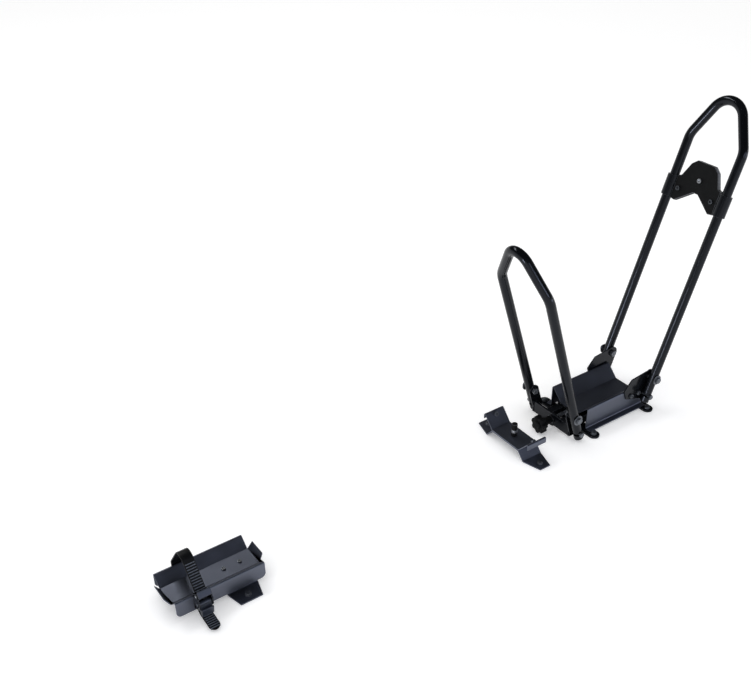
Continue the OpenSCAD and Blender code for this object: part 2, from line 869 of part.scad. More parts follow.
// Wheel stop that slides on the front hoop's legs

// Half of the stop plate's outline, from the middle of its notch to the middle of its top
stop_corners = [
    [0, stop_notch], [stop_notch_w / 2, stop_notch], [stop_foot_w / 2, -stop_foot],
    [leg_y, -stop_sleeve_len / 2], [leg_y, stop_sleeve_len / 2], [stop_hip_w / 2, stop_hip],
    [stop_shoulder_w / 2, stop_shoulder], [stop_top_w / 2, stop_top], [0, stop_top]
];
stop_half = rounded(stop_corners, stop_corner_r * [0, 0.5, 0.5, 0, 0, 1, 1, 1, 0], fold_steps);
stop_line = concat(stop_half, [for (i = [len(stop_half) - 2 : -1 : 1]) [-stop_half[i][0], stop_half[i][1]]]);
stop_bolt_at = [[0, stop_bolt_up], [-stop_bolt_span / 2, 0], [stop_bolt_span / 2, 0]];

module at_stop() {
    at_front_hoop() translate([0, 0, stop_at]) children();
}

module stop_plate() {
    color(plastic) at_stop() difference() {
        along_x(stop_t) difference() {
            polygon(stop_line);
            for (at = stop_bolt_at) translate(at) circle(hole_r(stop_bolt_d));
        }
        both_sides() translate([0, leg_y, -stop_top]) cylinder(r = stop_sleeve_r, h = 2 * stop_top);
    }
}

module stop_sleeve_right() {
    color(coat) at_stop() translate([0, -leg_y, -stop_sleeve_len / 2])
        ring(stop_sleeve_r, liner_r, stop_sleeve_len);
}

module stop_sleeve_left() {
    color(coat) at_stop() translate([0, leg_y, -stop_sleeve_len / 2])
        ring(stop_sleeve_r, liner_r, stop_sleeve_len);
}

module stop_liners() {
    color(plastic) at_stop() both_sides() translate([0, leg_y, -stop_sleeve_len / 2])
        ring(liner_r, tube_r + run_fit, stop_sleeve_len);
}

module stop_bolts() {
    grip = stop_t + nut_h(stop_bolt_d);
    color(zinc) at_stop() for (at = stop_bolt_at)
        translate([grip - stop_t / 2, at[0], at[1]]) rotate([0, -90, 0]) socket_bolt(stop_bolt_d, grip);
}

module stop_nuts() {
    color(zinc) at_stop() for (at = stop_bolt_at)
        translate([stop_t / 2, at[0], at[1]]) rotate([0, 90, 0]) hex_nut(stop_bolt_d);
}

// Carriage that carries the rear hoop

module crossbar() {
    color(coat) translate([crossbar_x, 0, 0]) along_x(crossbar_t) difference() {
        union() {
            translate([-side_y, crossbar_low_z]) square([cradle_w, crossbar_top_z - crossbar_low_z]);
            translate([0, rod_z]) circle(boss_r);
        }
        translate([0, rod_z]) circle(bush_d / 2);
    }
}

module lug_right() {
    color(coat) right_plate(side_y, lug_t) difference() {
        union() {
            link(rear_pivot, rear_lock_at, lug_r);
            translate([crossbar_back, crossbar_low_z])
                square([rear_lock_at[0] - crossbar_back, crossbar_top_z - crossbar_low_z]);
        }
        translate(rear_pivot) circle(hole_r(pivot_d));
        translate(rear_lock_at) circle(hole_r(lock_d));
    }
}

module lug_left() {
    left_side() lug_right();
}

module guide_rail_right() {
    color(coat) translate([crossbar_front, -rail_pitch / 2, rail_z]) rotate([90, 0, 90])
        linear_extrude(rail_len)
            difference() {
                square([rail_w, rail_h], center = true);
                square([rail_w, rail_h] - 2 * rail_wall * [1, 1], center = true);
            }
}

module guide_rail_left() {
    left_side() guide_rail_right();
}

module screw_bush() {
    color(steel) translate([crossbar_front, 0, rod_z]) rotate([0, -90, 0]) {
        ring(bush_d / 2, rod_d / 2 + run_fit, crossbar_t + bush_flange_t);
        translate([0, 0, crossbar_t]) ring(bush_flange_d / 2, rod_d / 2 + run_fit, bush_flange_t);
    }
}

module rear_pivot_bolts() {
    pivot_bolts(rear_pivot);
    pivot_discs(rear_pivot);
}

module rear_pivot_nuts() {
    pivot_nuts(rear_pivot);
}

module rear_lock_bolts() {
    lock_bolts(rear_lock_at);
}

module rear_lock_nuts() {
    lock_nuts(rear_lock_at);
}

// Knob and screw

module behind(x) {
    translate([x, 0, rod_z]) rotate([0, -90, 0]) children();
}

module clamp_screw() {
    color(dark_zinc) behind(crossbar_front + rod_reach)
        cylinder(d = rod_d, h = rod_reach + crossbar_front - knob_x + knob_seat);
}

module knob_hub() {
    color(plastic) behind(hub_x) ring(hub_d / 2, rod_d / 2, hub_len);
}

module retaining_collar() {
    color(steel) behind(crossbar_front + face_gap + collar_len) ring(collar_d / 2, rod_d / 2, collar_len);
}

module clamp_knob() {
    hollow_at = knob_d / 2 + knob_hollow_r - knob_hollow_depth;
    color(plastic) behind(knob_x) {
        difference() {
            cylinder(d = knob_d, h = knob_t);
            translate([0, 0, -eps]) cylinder(d = rod_d, h = knob_seat + eps);
            for (i = [0 : knob_lobes - 1])
                rotate(360 / knob_lobes * i)
                    translate([hollow_at, 0, -eps])
                        cylinder(r = knob_hollow_r, h = knob_t + 2 * eps);
        }
        translate([0, 0, knob_t]) cylinder(d = knob_cap_d, h = knob_cap_t);
    }
}

// Middle saddle

saddle_hat_line = [
    [-saddle_foot_out / 2, hat_t], [-saddle_foot_in / 2, hat_t], [-saddle_floor_w / 2, saddle_hat_z],
    [saddle_floor_w / 2, saddle_hat_z], [saddle_foot_in / 2, hat_t], [saddle_foot_out / 2, hat_t]
];
saddle_line = [
    [-saddle_w / 2, saddle_rim_z - saddle_lip], [-saddle_w / 2, saddle_rim_z],
    [-saddle_floor_w / 2, saddle_floor_z], [saddle_floor_w / 2, saddle_floor_z],
    [saddle_w / 2, saddle_rim_z], [saddle_w / 2, saddle_rim_z - saddle_lip]
];

// Plan of a bracket with tapered foot tips
module tapered_plan(length, tip, foot_in, foot_out) {
    polygon([
        [-length / 2, -foot_in / 2], [-tip / 2, -foot_out / 2],
        [tip / 2, -foot_out / 2], [length / 2, -foot_in / 2],
        [length / 2, foot_in / 2], [tip / 2, foot_out / 2],
        [-tip / 2, foot_out / 2], [-length / 2, foot_in / 2]
    ]);
}

module hat_bracket(line, length, tip, foot_in, foot_out, bolt_span) {
    difference() {
        intersection() {
            along_x(length) folded_sheet(line, hat_t);
            translate([0, 0, -eps]) linear_extrude(saddle_rim_z) tapered_plan(length, tip, foot_in, foot_out);
        }
        for (y = [-1, 1] * bolt_span / 2)
            translate([0, y, -eps]) cylinder(r = hole_r(foot_bolt_d), h = hat_t + 2 * eps);
    }
}

module foot_bolt_pair(span) {
    for (y = [-1, 1] * span / 2) translate([0, y, 0]) {
        foot_bolt(hat_t);
        translate([0, 0, hat_t]) ring(washer_r(foot_bolt_d), foot_bolt_d / 2, washer_t);
    }
}

module at_saddle() {
    translate([saddle_x, 0, 0]) children();
}

module saddle_bracket() {
    color(coat) at_saddle() difference() {
        hat_bracket(saddle_hat_line, saddle_len, saddle_tip, saddle_foot_in, saddle_foot_out,
                    saddle_bolt_span);
        cylinder(r = hole_r(stud_d), h = saddle_rim_z);
    }
}

ear_angle = atan2(saddle_rim_z - saddle_floor_z, (saddle_w - saddle_floor_w) / 2);

module at_ears() {
    at_saddle() both_sides()
        translate([0, saddle_floor_w / 2, saddle_floor_z])
            rotate([ear_angle, 0, 0])
                translate([0, ear_bolt_up, 0])
                    children();
}

module saddle() {
    color(coat) difference() {
        at_saddle() along_x(saddle_len) folded_sheet(saddle_line, sheet_t);
        at_saddle() cylinder(r = hole_r(stud_d), h = saddle_rim_z);
        at_ears() translate([0, 0, -2 * sheet_t]) cylinder(r = hole_r(ear_bolt_d), h = 3 * sheet_t);
    }
}

module saddle_stud() {
    color(steel) at_saddle() translate([0, 0, stud_low_z])
        cylinder(d = stud_d, h = stud_cap_z + stud_cap_len - stud_low_z);
}

module saddle_nuts() {
    color(zinc) at_saddle() for (z = [stud_low_z, stud_nut_z]) translate([0, 0, z]) hex_nut(stud_d);
}

module stud_spacer() {
    color(plastic) at_saddle() translate([0, 0, saddle_floor_z])
        ring(stud_cap_d / 2, stud_d / 2, stud_spacer_len);
}

module stud_cap() {
    color(plastic) at_saddle() translate([0, 0, stud_cap_z]) difference() {
        cylinder(d = stud_cap_d, h = stud_cap_len + sheet_t);
        translate([0, 0, -eps]) cylinder(d = stud_d, h = stud_cap_len + eps);
    }
}

module ear_bolts() {
    color(dark_zinc) at_ears() translate([0, 0, -sheet_t]) socket_bolt(ear_bolt_d, sheet_t);
}

// Rear tray

tray_line = [
    [-tray_side, tray_skirt_z], [-tray_side, tray_rim_z], [-tray_floor_w / 2, tray_floor_z],
    [tray_floor_w / 2, tray_floor_z], [tray_side, tray_rim_z], [tray_side, tray_skirt_z]
];
tray_hat_line = [
    [-tray_foot_out / 2, hat_t], [-tray_foot_in / 2, hat_t], [-tray_hat_top_w / 2, tray_hat_z],
    [tray_hat_top_w / 2, tray_hat_z], [tray_foot_in / 2, hat_t], [tray_foot_out / 2, hat_t]
];
tray_bolt_x = [for (x = [-1, 1] * tray_bolt_pitch / 2) tray_hat_x + x];

module at_tray() {
    translate([tray_x, 0, 0]) children();
}

// Side view of the tray, whose skirts have round lower corners
module tray_side_view() {
    translate([-tray_len / 2, tray_skirt_z + tray_corner_r]) square([tray_len, tray_rim_z]);
    link([-tray_len / 2 + tray_corner_r, tray_skirt_z + tray_corner_r],
         [tray_len / 2 - tray_corner_r, tray_skirt_z + tray_corner_r], tray_corner_r);
}

tray_end_line = [
    [tray_len / 2 - tray_end_reach, tray_floor_z], [tray_len / 2, tray_floor_z],
    [tray_len / 2 + tray_end_reach, tray_end_z]
];

// Bent up end of the tray's floor, tapered towards its top
module tray_end() {
    low = tray_floor_w / 2;
    high = tray_end_w / 2;
    reach = tray_len / 2 + tray_end_reach;
    intersection() {
        translate([0, low, 0])
            rotate([90, 0, 0])
                linear_extrude(tray_floor_w)
                    folded_sheet(tray_end_line, sheet_t);
        linear_extrude(tray_rim_z)
            polygon([
                [0, -low], [tray_len / 2, -low], [reach, -high],
                [reach, high], [tray_len / 2, low], [0, low]
            ]);
    }
}

module rear_tray() {
    color(coat) at_tray() difference() {
        union() {
            intersection() {
                along_x(tray_len) folded_sheet(tray_line, sheet_t);
                translate([0, tray_w, 0]) rotate([90, 0, 0]) linear_extrude(2 * tray_w) tray_side_view();
            }
            tray_end();
            mirror([1, 0, 0]) tray_end();
        }
        for (x = tray_bolt_x) translate([x, 0, 0]) cylinder(r = hole_r(tray_bolt_d), h = tray_rim_z);
        for (z = rivet_z) translate([strap_x, tray_w, z]) rotate([90, 0, 0])
            cylinder(d = rivet_d, h = 2 * tray_w);
    }
}

module tray_bracket() {
    color(coat) at_tray() difference() {
        translate([tray_hat_x, 0, 0])
            hat_bracket(tray_hat_line, tray_hat_len, tray_tip, tray_foot_in, tray_foot_out, tray_bolt_span);
        for (x = tray_bolt_x) translate([x, 0, hat_t]) cylinder(r = hole_r(tray_bolt_d), h = tray_rim_z);
    }
}

module tray_bolts() {
    z_low = tray_hat_z - hat_t - nut_h(tray_bolt_d);
    color(dark_zinc) at_tray() for (x = tray_bolt_x) translate([x, 0, z_low]) {
        socket_bolt(tray_bolt_d, tray_floor_z - z_low);
        cylinder(r = hex_r(tray_bolt_d), h = nut_h(tray_bolt_d), $fn = 6);
    }
}

// Foot bolts of the saddle's and the tray's bracket
module bracket_foot_bolts() {
    color(dark_zinc) {
        at_saddle() foot_bolt_pair(saddle_bolt_span);
        at_tray() translate([tray_hat_x, 0, 0]) foot_bolt_pair(tray_bolt_span);
    }
}

// Ladder strap and ratchet buckle, drawn in Y and Z with the buckle on the right skirt

strap_corners = [
    [anchor_y, strap_end_z], [anchor_y, strap_turn_z], [0, strap_top_z],
    [-strap_y, strap_turn_z], [-strap_y, tail_turn_z], [-strap_y - tail_reach, tail_end_z]
];
strap_path = rounded(strap_corners, [0, strap_bend_r, strap_top_r, strap_bend_r, strap_bend_r, 0], 8);
ridge_count = floor((path_len(strap_path) - ridge_start) / ridge_pitch);
rivet_z = [strap_end_z + rivet_d, buckle_low_z + rivet_d];

module at_strap() {
    translate([tray_x + strap_x, 0, 0]) children();
}

// Corners that the round end of the strap's tail takes away
module tail_corners() {
    round_r = strap_w / 2 + link_ease;
    translate([0, round_r - strap_y - tail_reach, 0]) difference() {
        translate([-strap_w, -2 * round_r, -eps]) cube([2 * strap_w, 2 * round_r, strap_turn_z]);
        translate([0, 0, -2 * eps]) cylinder(r = round_r, h = strap_turn_z + 2 * eps);
    }
}

module strap() {
    color(plastic) at_strap() difference() {
        union() {
            along_x(strap_w) strip(shifted(strap_path, strap_t / 2), strap_t);
            along_x(strap_w - 2 * ridge_margin) for (i = [0 : ridge_count - 1]) {
                at = along(strap_path, ridge_start + i * ridge_pitch);
                translate(at[0])
                    rotate(atan2(at[1][1], at[1][0]))
                        square([ridge_w, strap_t + 2 * ridge_h], center = true);
            }
        }
        translate([0, anchor_y + strap_t, rivet_z[0]])
            rotate([90, 0, 0])
                cylinder(d = rivet_d, h = 2 * strap_t);
        tail_corners();
    }
}

// Rivets through the strap's left end and through the buckle's plate
module strap_rivets() {
    color(zinc) at_strap() {
        translate([0, tray_side - sheet_t, rivet_z[0]]) rotate([-90, 0, 0]) rivet(anchor_y + strap_t / 2);
        translate([0, -tray_side + sheet_t, rivet_z[1]]) rotate([90, 0, 0]) rivet(tray_side + buckle_t);
    }
}

// Rivet from the skirt's inner face out to a face at y_out, with a head at each end
module rivet(y_out) {
    grip = y_out - tray_side + sheet_t;
    translate([0, 0, -rivet_head_t]) cylinder(d = 2 * rivet_d, h = rivet_head_t);
    cylinder(d = rivet_d, h = grip);
    translate([0, 0, grip]) cylinder(d = 2 * rivet_d, h = rivet_head_t);
}

module buckle_section() {
    translate([-tray_side - buckle_t, buckle_low_z]) square([buckle_t, buckle_top_z - buckle_low_z]);
}

module cheek_section() {
    cheek_top = pawl_pin_z + pawl_hub_r;
    polygon([
        [-tray_side - buckle_t, lever_pin_z - lever_hub_r], [-tray_side - lever_pin_out, cheek_low_z],
        [-tray_side - buckle_depth, lever_pin_z - lever_hub_r],
        [-tray_side - buckle_depth, lever_pin_z + 2 * lever_hub_r],
        [-tray_side - pawl_pin_out - pawl_hub_r, cheek_top],
        [-tray_side - pawl_pin_out + pawl_hub_r, cheek_top], [-tray_side - buckle_t, buckle_top_z]
    ]);
}

lever_pin = [-tray_side - lever_pin_out, lever_pin_z];
pawl_pin = [-tray_side - pawl_pin_out, pawl_pin_z];

// Frame of the buckle: plate, two cheeks and the two pins riveted in them
module buckle_frame() {
    color(steel) at_strap() {
        difference() {
            along_x(buckle_w) buckle_section();
            translate([0, -tray_side - 2 * buckle_t, rivet_z[1]]) rotate([-90, 0, 0])
                cylinder(d = rivet_d, h = 2 * buckle_t);
        }
        for (x = [-1, 1] * (buckle_w - buckle_t) / 2) translate([x, 0, 0]) along_x(buckle_t) cheek_section();
        translate([0, lever_pin[0], lever_pin[1]]) along_x(buckle_w) circle(d = pin_d);
        translate([0, pawl_pin[0], pawl_pin[1]]) along_x(buckle_w) circle(d = pin_d);
    }
}

lever_w = buckle_w - 2 * buckle_t - 2 * face_gap;

// Lever whose end is curled back up into a lip
module buckle_lever() {
    end = lever_pin + lever_len * [-sin(lever_tilt), -cos(lever_tilt)];
    lip = end + lip_len * [-sin(lip_lean), cos(lip_lean)];
    color(plastic) at_strap() along_x(lever_w) difference() {
        union() {
            translate(lever_pin) circle(lever_hub_r);
            link(lever_pin, end, lever_t / 2);
            link(end, lip, lever_t / 2);
        }
        translate(lever_pin) circle(pin_d / 2 + run_fit);
    }
}

// Pawl with its tooth at the strap and the thumb cap that lifts it
module buckle_pawl() {
    cap_front = [-tray_side - cap_front_out, cap_front_z];
    cap_back = [-tray_side - cap_back_out, cap_back_z];
    tooth = [-strap_y - strap_t / 2 - ridge_h - face_gap - pawl_t / 2, pawl_pin_z - pawl_drop];
    color(plastic) at_strap() {
        along_x(lever_w) difference() {
            union() {
                translate(pawl_pin) circle(pawl_hub_r);
                link(pawl_pin, (cap_front + cap_back) / 2, pawl_t / 2);
                link(pawl_pin, tooth, pawl_t / 2);
            }
            translate(pawl_pin) circle(pin_d / 2 + run_fit);
        }
        along_x(cap_w) link(cap_front, cap_back, cap_t / 2);
    }
}

front_cradle();
rear_foot_bar();
front_foot_bar();
foot_bolts();
foot_washers();
guide_sleeve_right();
guide_sleeve_left();
screw_block();
drive_nut();
leg_bracket_right();
leg_bracket_left();
bracket_bolts();
bracket_nuts();
front_pivot_bolts();
front_pivot_discs();
front_pivot_nuts();
front_lock_bolts();
front_lock_nuts();
front_hoop();
front_hoop_bushes();
front_hoop_plugs();
stop_plate();
stop_sleeve_right();
stop_sleeve_left();
stop_liners();
stop_bolts();
stop_nuts();
crossbar();
lug_right();
lug_left();
guide_rail_right();
guide_rail_left();
screw_bush();
rear_pivot_bolts();
rear_pivot_nuts();
rear_lock_bolts();
rear_lock_nuts();
clamp_screw();
clamp_knob();
knob_hub();
retaining_collar();
rear_hoop();
rear_hoop_bushes();
rear_hoop_plugs();
saddle_bracket();
saddle();
saddle_stud();
saddle_nuts();
stud_spacer();
stud_cap();
ear_bolts();
rear_tray();
tray_bracket();
tray_bolts();
bracket_foot_bolts();
strap();
strap_rivets();
buckle_frame();
buckle_lever();
buckle_pawl();
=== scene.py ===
"""Dress the roof mounted bike carrier: eased edges, hoops, fasteners, welds, strap, light and camera.

Lengths in the classes are millimetres in the frame of the solids: X forward, Y left, Z up from the feet.
"""

from __future__ import annotations

import json
import logging
import math
from collections.abc import Iterable, Sequence
from dataclasses import dataclass
from enum import Enum
from typing import Any

import bmesh
import bpy
from mathutils import Matrix, Vector

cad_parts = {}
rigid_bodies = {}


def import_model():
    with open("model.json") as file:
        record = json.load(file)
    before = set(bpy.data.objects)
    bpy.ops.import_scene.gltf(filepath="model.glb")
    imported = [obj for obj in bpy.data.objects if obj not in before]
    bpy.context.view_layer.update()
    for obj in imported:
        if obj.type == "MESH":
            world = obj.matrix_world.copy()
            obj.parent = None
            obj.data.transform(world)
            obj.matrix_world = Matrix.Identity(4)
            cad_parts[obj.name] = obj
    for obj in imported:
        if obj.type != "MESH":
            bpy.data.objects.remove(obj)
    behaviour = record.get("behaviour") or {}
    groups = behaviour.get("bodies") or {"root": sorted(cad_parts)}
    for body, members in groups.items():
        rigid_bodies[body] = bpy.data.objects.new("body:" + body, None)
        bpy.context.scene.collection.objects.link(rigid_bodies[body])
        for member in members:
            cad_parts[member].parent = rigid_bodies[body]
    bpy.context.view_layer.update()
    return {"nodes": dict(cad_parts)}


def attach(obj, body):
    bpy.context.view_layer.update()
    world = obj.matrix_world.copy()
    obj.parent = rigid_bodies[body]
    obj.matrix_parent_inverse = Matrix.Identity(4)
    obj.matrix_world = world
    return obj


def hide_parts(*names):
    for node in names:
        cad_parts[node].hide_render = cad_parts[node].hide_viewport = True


MM = 0.001
LOG = logging.getLogger("carrier")

Socket = bpy.types.NodeSocket
Point = tuple[float, float, float]
Flat = tuple[float, float]

# Octaves of the drift in tone and of the grain, the drift's share of small patches and the grain's strength.
DRIFT_DETAIL, GRAIN_DETAIL, DRIFT_ROUGHNESS, GRAIN_STRENGTH = 4.0, 2.0, 0.62, 0.6
# Levels of the drift at which the two tones, and the two roughnesses, are reached.
TONE_SPAN, DULL_SPAN = (0.32, 0.72), (0.3, 0.7)
# Face angle in degrees above which a shaded edge stays sharp: metal, moulded pieces and weld beads.
SHARP_DEG, MOULDED_SHARP_DEG, BEAD_SHARP_DEG = 32.0, 40.0, 60.0
# Least and greatest size of a weld bead over the usual one, and the seed that deals them out.
BEAD_SIZES, BEAD_SEED = (0.88, 1.08), 7
# Width of a hexagon over its flats: factor of the thread, and what is added in mm.
FLATS = (1.5, 1.0)
# Chords in the hoops' bends, in a slot's arc and its round end, and around a pivot hole.
BEND_STEPS, SLOT_STEPS, END_STEPS, HOLE_STEPS = 28, 14, 12, 40
# Chords in the strap's bends and its round tail, along one lobe of the knob and over a rounded edge.
STRAP_STEPS, TAIL_STEPS, LOBE_STEPS, EDGE_STEPS = 14, 10, 18, 4
# Height of a nut, and the fasteners' other proportions, over the thread's diameter.
NUT_HEIGHT, PITCH, HEAD_HEIGHT, SOCKET_HEAD_R, KEY_R = 0.8, 0.15, 0.65, 0.8, 0.4
# Room between a bolt and its washer in mm.
WASHER_GAP = 0.2
# Share of the head's radius that stays flat on top, and the slope below it: hexagon, then socket head.
HEAD_FLAT, HEAD_SLOPE = (0.82, 0.86), (1.732, 1.0)
UP: Point = (0.0, 0.0, 1.0)
OUT_RIGHT: Point = (0.0, -1.0, 0.0)


class Body(str, Enum):
    """Moving bodies of the carrier."""

    BASE = "base"
    FRONT_HOOP = "front_hoop"
    WHEEL_STOP = "wheel_stop"
    CARRIAGE = "carriage"
    KNOB = "knob"
    REAR_HOOP = "rear_hoop"
    LEVER = "buckle_lever"
    PAWL = "buckle_pawl"


class Slot(str, Enum):
    """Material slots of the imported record."""

    COAT = "black_coat"
    ZINC = "zinc_plate"
    DARK = "dark_plate"
    STEEL = "plain_steel"
    NYLON = "black_plastic"
    STRAP = "strap_plastic"


class Head(Enum):
    """Kinds of bolt head."""

    HEXAGON = False
    SOCKET = True


def add_node(
    tree: bpy.types.NodeTree,
    kind: str,
    settings: dict[str, Any] | None = None,
    inputs: dict[str | int, Any] | None = None,
) -> bpy.types.Node:
    """Add one node with its settings, values and links.

    Args:
        tree: Tree that gets the node.
        kind: Type name of the node.
        settings: Properties of the node.
        inputs: Values or output sockets, by the input's name or index.

    Returns:
        The new node.
    """
    node = tree.nodes.new(kind)
    for name, value in (settings or {}).items():
        setattr(node, name, value)
    for key, value in (inputs or {}).items():
        if isinstance(value, Socket):
            tree.links.new(value, node.inputs[key])
        else:
            node.inputs[key].default_value = value
    return node


def linear(colour: str) -> tuple[float, float, float, float]:
    """Turn an sRGB hex colour into linear RGBA.

    Args:
        colour: Colour such as "#1a1b1e".

    Returns:
        Linear red, green, blue and a full alpha.
    """
    parts = [int(colour[i : i + 2], 16) / 255 for i in (1, 3, 5)]
    red, green, blue = (c / 12.92 if c <= 0.04045 else ((c + 0.055) / 1.055) ** 2.4 for c in parts)
    return red, green, blue, 1.0


def per_metre(size_mm: float) -> float:
    """Give the texture scale whose pattern repeats about every size_mm."""
    return 1.0 / (size_mm * MM)


@dataclass(frozen=True)
class Finish:
    """Surface of one material, with the tones and the grain that its making leaves.

    Attributes:
        name: Name of the material and its process.
        slot: Slot of the record that it stands for; not used.
        tones: Darker and lighter sRGB tone of the surface.
        tone_mm: Size of the patches in which the tone drifts.
        metallic: 1 for bare or plated metal, 0 for paint and plastic.
        roughness: Lowest and highest roughness.
        grain_mm: Size of the surface's grain.
        grain_depth_mm: Depth of that grain.
        stretch: Factors that squeeze the grain along X, Y and Z.
        specular: Strength of the mirror-like part.
        tint: sRGB tint of the mirror-like part.
        ior: Index of refraction.
    """

    name: str
    slot: Slot
    tones: tuple[str, str]
    tone_mm: float
    metallic: float
    roughness: tuple[float, float]
    grain_mm: float
    grain_depth_mm: float
    stretch: Point = (1.0, 1.0, 1.0)
    specular: float = 0.5
    tint: str = "#ffffff"
    ior: float = 1.5

    def material(self) -> bpy.types.Material:
        """Build the material once.

        Returns:
            The Blender material of this finish.
        """
        found = bpy.data.materials.get(self.name)
        if found:
            return found
        material = bpy.data.materials.new(self.name)
        material.use_nodes = True
        tree = material.node_tree
        shader = tree.nodes["Principled BSDF"]
        shader.inputs["Metallic"].default_value = self.metallic
        shader.inputs["IOR"].default_value = self.ior
        shader.inputs["Specular IOR Level"].default_value = self.specular
        shader.inputs["Specular Tint"].default_value = linear(self.tint)
        place = add_node(tree, "ShaderNodeTexCoord").outputs["Object"]
        drift = add_node(tree, "ShaderNodeTexNoise", None, {
            "Vector": place, "Scale": per_metre(self.tone_mm), "Detail": DRIFT_DETAIL,
            "Roughness": DRIFT_ROUGHNESS})
        tone = add_node(tree, "ShaderNodeValToRGB", None, {"Fac": drift.outputs["Fac"]})
        for element, level, colour in zip(tone.color_ramp.elements, TONE_SPAN, self.tones):
            element.position = level
            element.color = linear(colour)
        tree.links.new(tone.outputs["Color"], shader.inputs["Base Color"])
        dull = add_node(tree, "ShaderNodeMapRange", None, {
            "Value": drift.outputs["Fac"], "From Min": DULL_SPAN[0], "From Max": DULL_SPAN[1],
            "To Min": self.roughness[0], "To Max": self.roughness[1]})
        tree.links.new(dull.outputs["Result"], shader.inputs["Roughness"])
        squeezed = add_node(tree, "ShaderNodeMapping", None, {"Vector": place, "Scale": self.stretch})
        grain = add_node(tree, "ShaderNodeTexNoise", None, {
            "Vector": squeezed.outputs["Vector"], "Scale": per_metre(self.grain_mm),
            "Detail": GRAIN_DETAIL})
        bump = add_node(tree, "ShaderNodeBump", None, {
            "Height": grain.outputs["Fac"], "Strength": GRAIN_STRENGTH, "Distance": self.grain_depth_mm * MM})
        tree.links.new(bump.outputs["Normal"], shader.inputs["Normal"])
        return material


# Polyester powder on folded sheet, baked: blue black with a fine mica sheen, so that faces that mirror the
# pale floor turn blue grey and faces that look up stay black. Its texture is about 0.6 mm, drawn at 1.6 mm.
SHEET_COAT = Finish("mica_powder_coated_sheet", Slot.COAT, ("#0a0c12", "#12161f"), 38.0, 0.0, (0.38, 0.48),
                    1.6, 0.02, specular=1.0, tint="#d8e0f6", ior=1.9)
# The same coat on the eased edges, paler: partly rubbed thin, and partly a painted highlight along every
# edge.
SHEET_EDGE_WEAR_AND_HIGHLIGHT = Finish("mica_powder_coat_rubbed_and_painted_highlight_edge", Slot.COAT, ("#1d2027", "#3c414c"), 9.0, 0.0, (0.34, 0.44),
                    1.6, 0.012, specular=1.0, tint="#d8e0f6", ior=1.9)
# Gloss powder on bar, plate and drawn tube: deep black with a clear sheen, and the long soft dimples of
# orange peel, drawn at 3 mm.
GLOSS_COAT = Finish("gloss_powder_coated_steel", Slot.COAT, ("#07080a", "#0b0d10"), 60.0, 0.0, (0.12, 0.2),
                    3.0, 0.012, specular=0.32, tint="#e2e8f6")
# The same coat on the eased edges, paler: partly worn to a grey line, and partly a painted highlight along
# them.
GLOSS_EDGE_WEAR_AND_HIGHLIGHT = Finish("gloss_powder_coat_worn_and_painted_highlight_edge", Slot.COAT, ("#17191d", "#33373e"), 9.0, 0.0, (0.2, 0.3),
                    3.0, 0.012)
# Bright zinc electroplate with a clear passivation: pale silver, faintly clouded, soft highlights.
ZINC_PLATE = Finish("bright_zinc_plated_steel", Slot.ZINC, ("#a0a4a9", "#cdd0d4"), 5.0, 1.0, (0.26, 0.4),
                    0.9, 0.006)
# The same plate, darker and matt, on the two side bolts of the stop plate.
DULL_ZINC = Finish("darker_matt_zinc_plated_steel", Slot.ZINC, ("#4d5055", "#6c7076"), 5.0, 1.0, (0.4, 0.52),
                   0.9, 0.006)
# Zinc plate with a black passivation: dark grey metal with a sheen, paler where tools have touched it.
DARK_PLATE = Finish("black_passivated_zinc", Slot.DARK, ("#5c5f64", "#8c9096"), 6.0, 1.0, (0.44, 0.56),
                    0.9, 0.006)
# Turned free-cutting steel: mid grey metal with fine rings left by the tool, drawn at 0.8 mm.
TURNED_STEEL = Finish("turned_steel", Slot.STEEL, ("#6f7276", "#94979b"), 7.0, 1.0, (0.24, 0.38),
                      0.8, 0.01, stretch=(1.0, 0.08, 0.08))
# Glass filled nylon from a spark eroded mould: deep black with a fine matt grain, drawn at 0.9 mm.
MOULDED_NYLON = Finish("moulded_nylon", Slot.NYLON, ("#070809", "#0d0e0f"), 22.0, 0.0, (0.5, 0.62),
                       0.9, 0.03, specular=0.16)
# The same nylon along moulded edges, paler: a painted highlight along every eased edge.
NYLON_EDGE_HIGHLIGHT = Finish("moulded_nylon_painted_highlight_edge", Slot.NYLON, ("#2c2d31", "#4b4d53"), 8.0, 0.0, (0.3, 0.4),
                    0.9, 0.012, specular=0.6)
# The same nylon on the stop plate's sides that look along Y, paler: a painted highlight on its edge faces.
NYLON_SIDE_HIGHLIGHT = Finish("nylon_side_painted_highlight", Slot.NYLON, ("#4c4f56", "#6e7178"), 7.0, 0.0, (0.4, 0.5),
                      0.9, 0.02)
# Nylon from a polished mould, on buckle lever and pawl: blue grey sheen on faces turned to the light.
SATIN_NYLON = Finish("satin_moulded_nylon", Slot.NYLON, ("#1b1f27", "#2a2f39"), 14.0, 0.0, (0.36, 0.46),
                     0.9, 0.012, specular=0.9, tint="#d8e0f6")
# Moulded polyurethane band: black, slightly waxy, with faint flow lines along its length.
STRAP_PLASTIC = Finish("moulded_polyurethane", Slot.STRAP, ("#07080a", "#0d0f12"), 14.0, 0.0, (0.4, 0.5),
                       1.4, 0.02, stretch=(3.0, 0.5, 0.5), specular=0.2)
# The same plastic on the crests of the ridges, paler blue grey: a painted highlight on the crests.
STRAP_CREST_HIGHLIGHT = Finish("polyurethane_painted_crest_highlight", Slot.STRAP, ("#3a404a", "#59606c"), 6.0, 0.0, (0.3, 0.4),
                     1.4, 0.012, stretch=(3.0, 0.5, 0.5), specular=0.6)


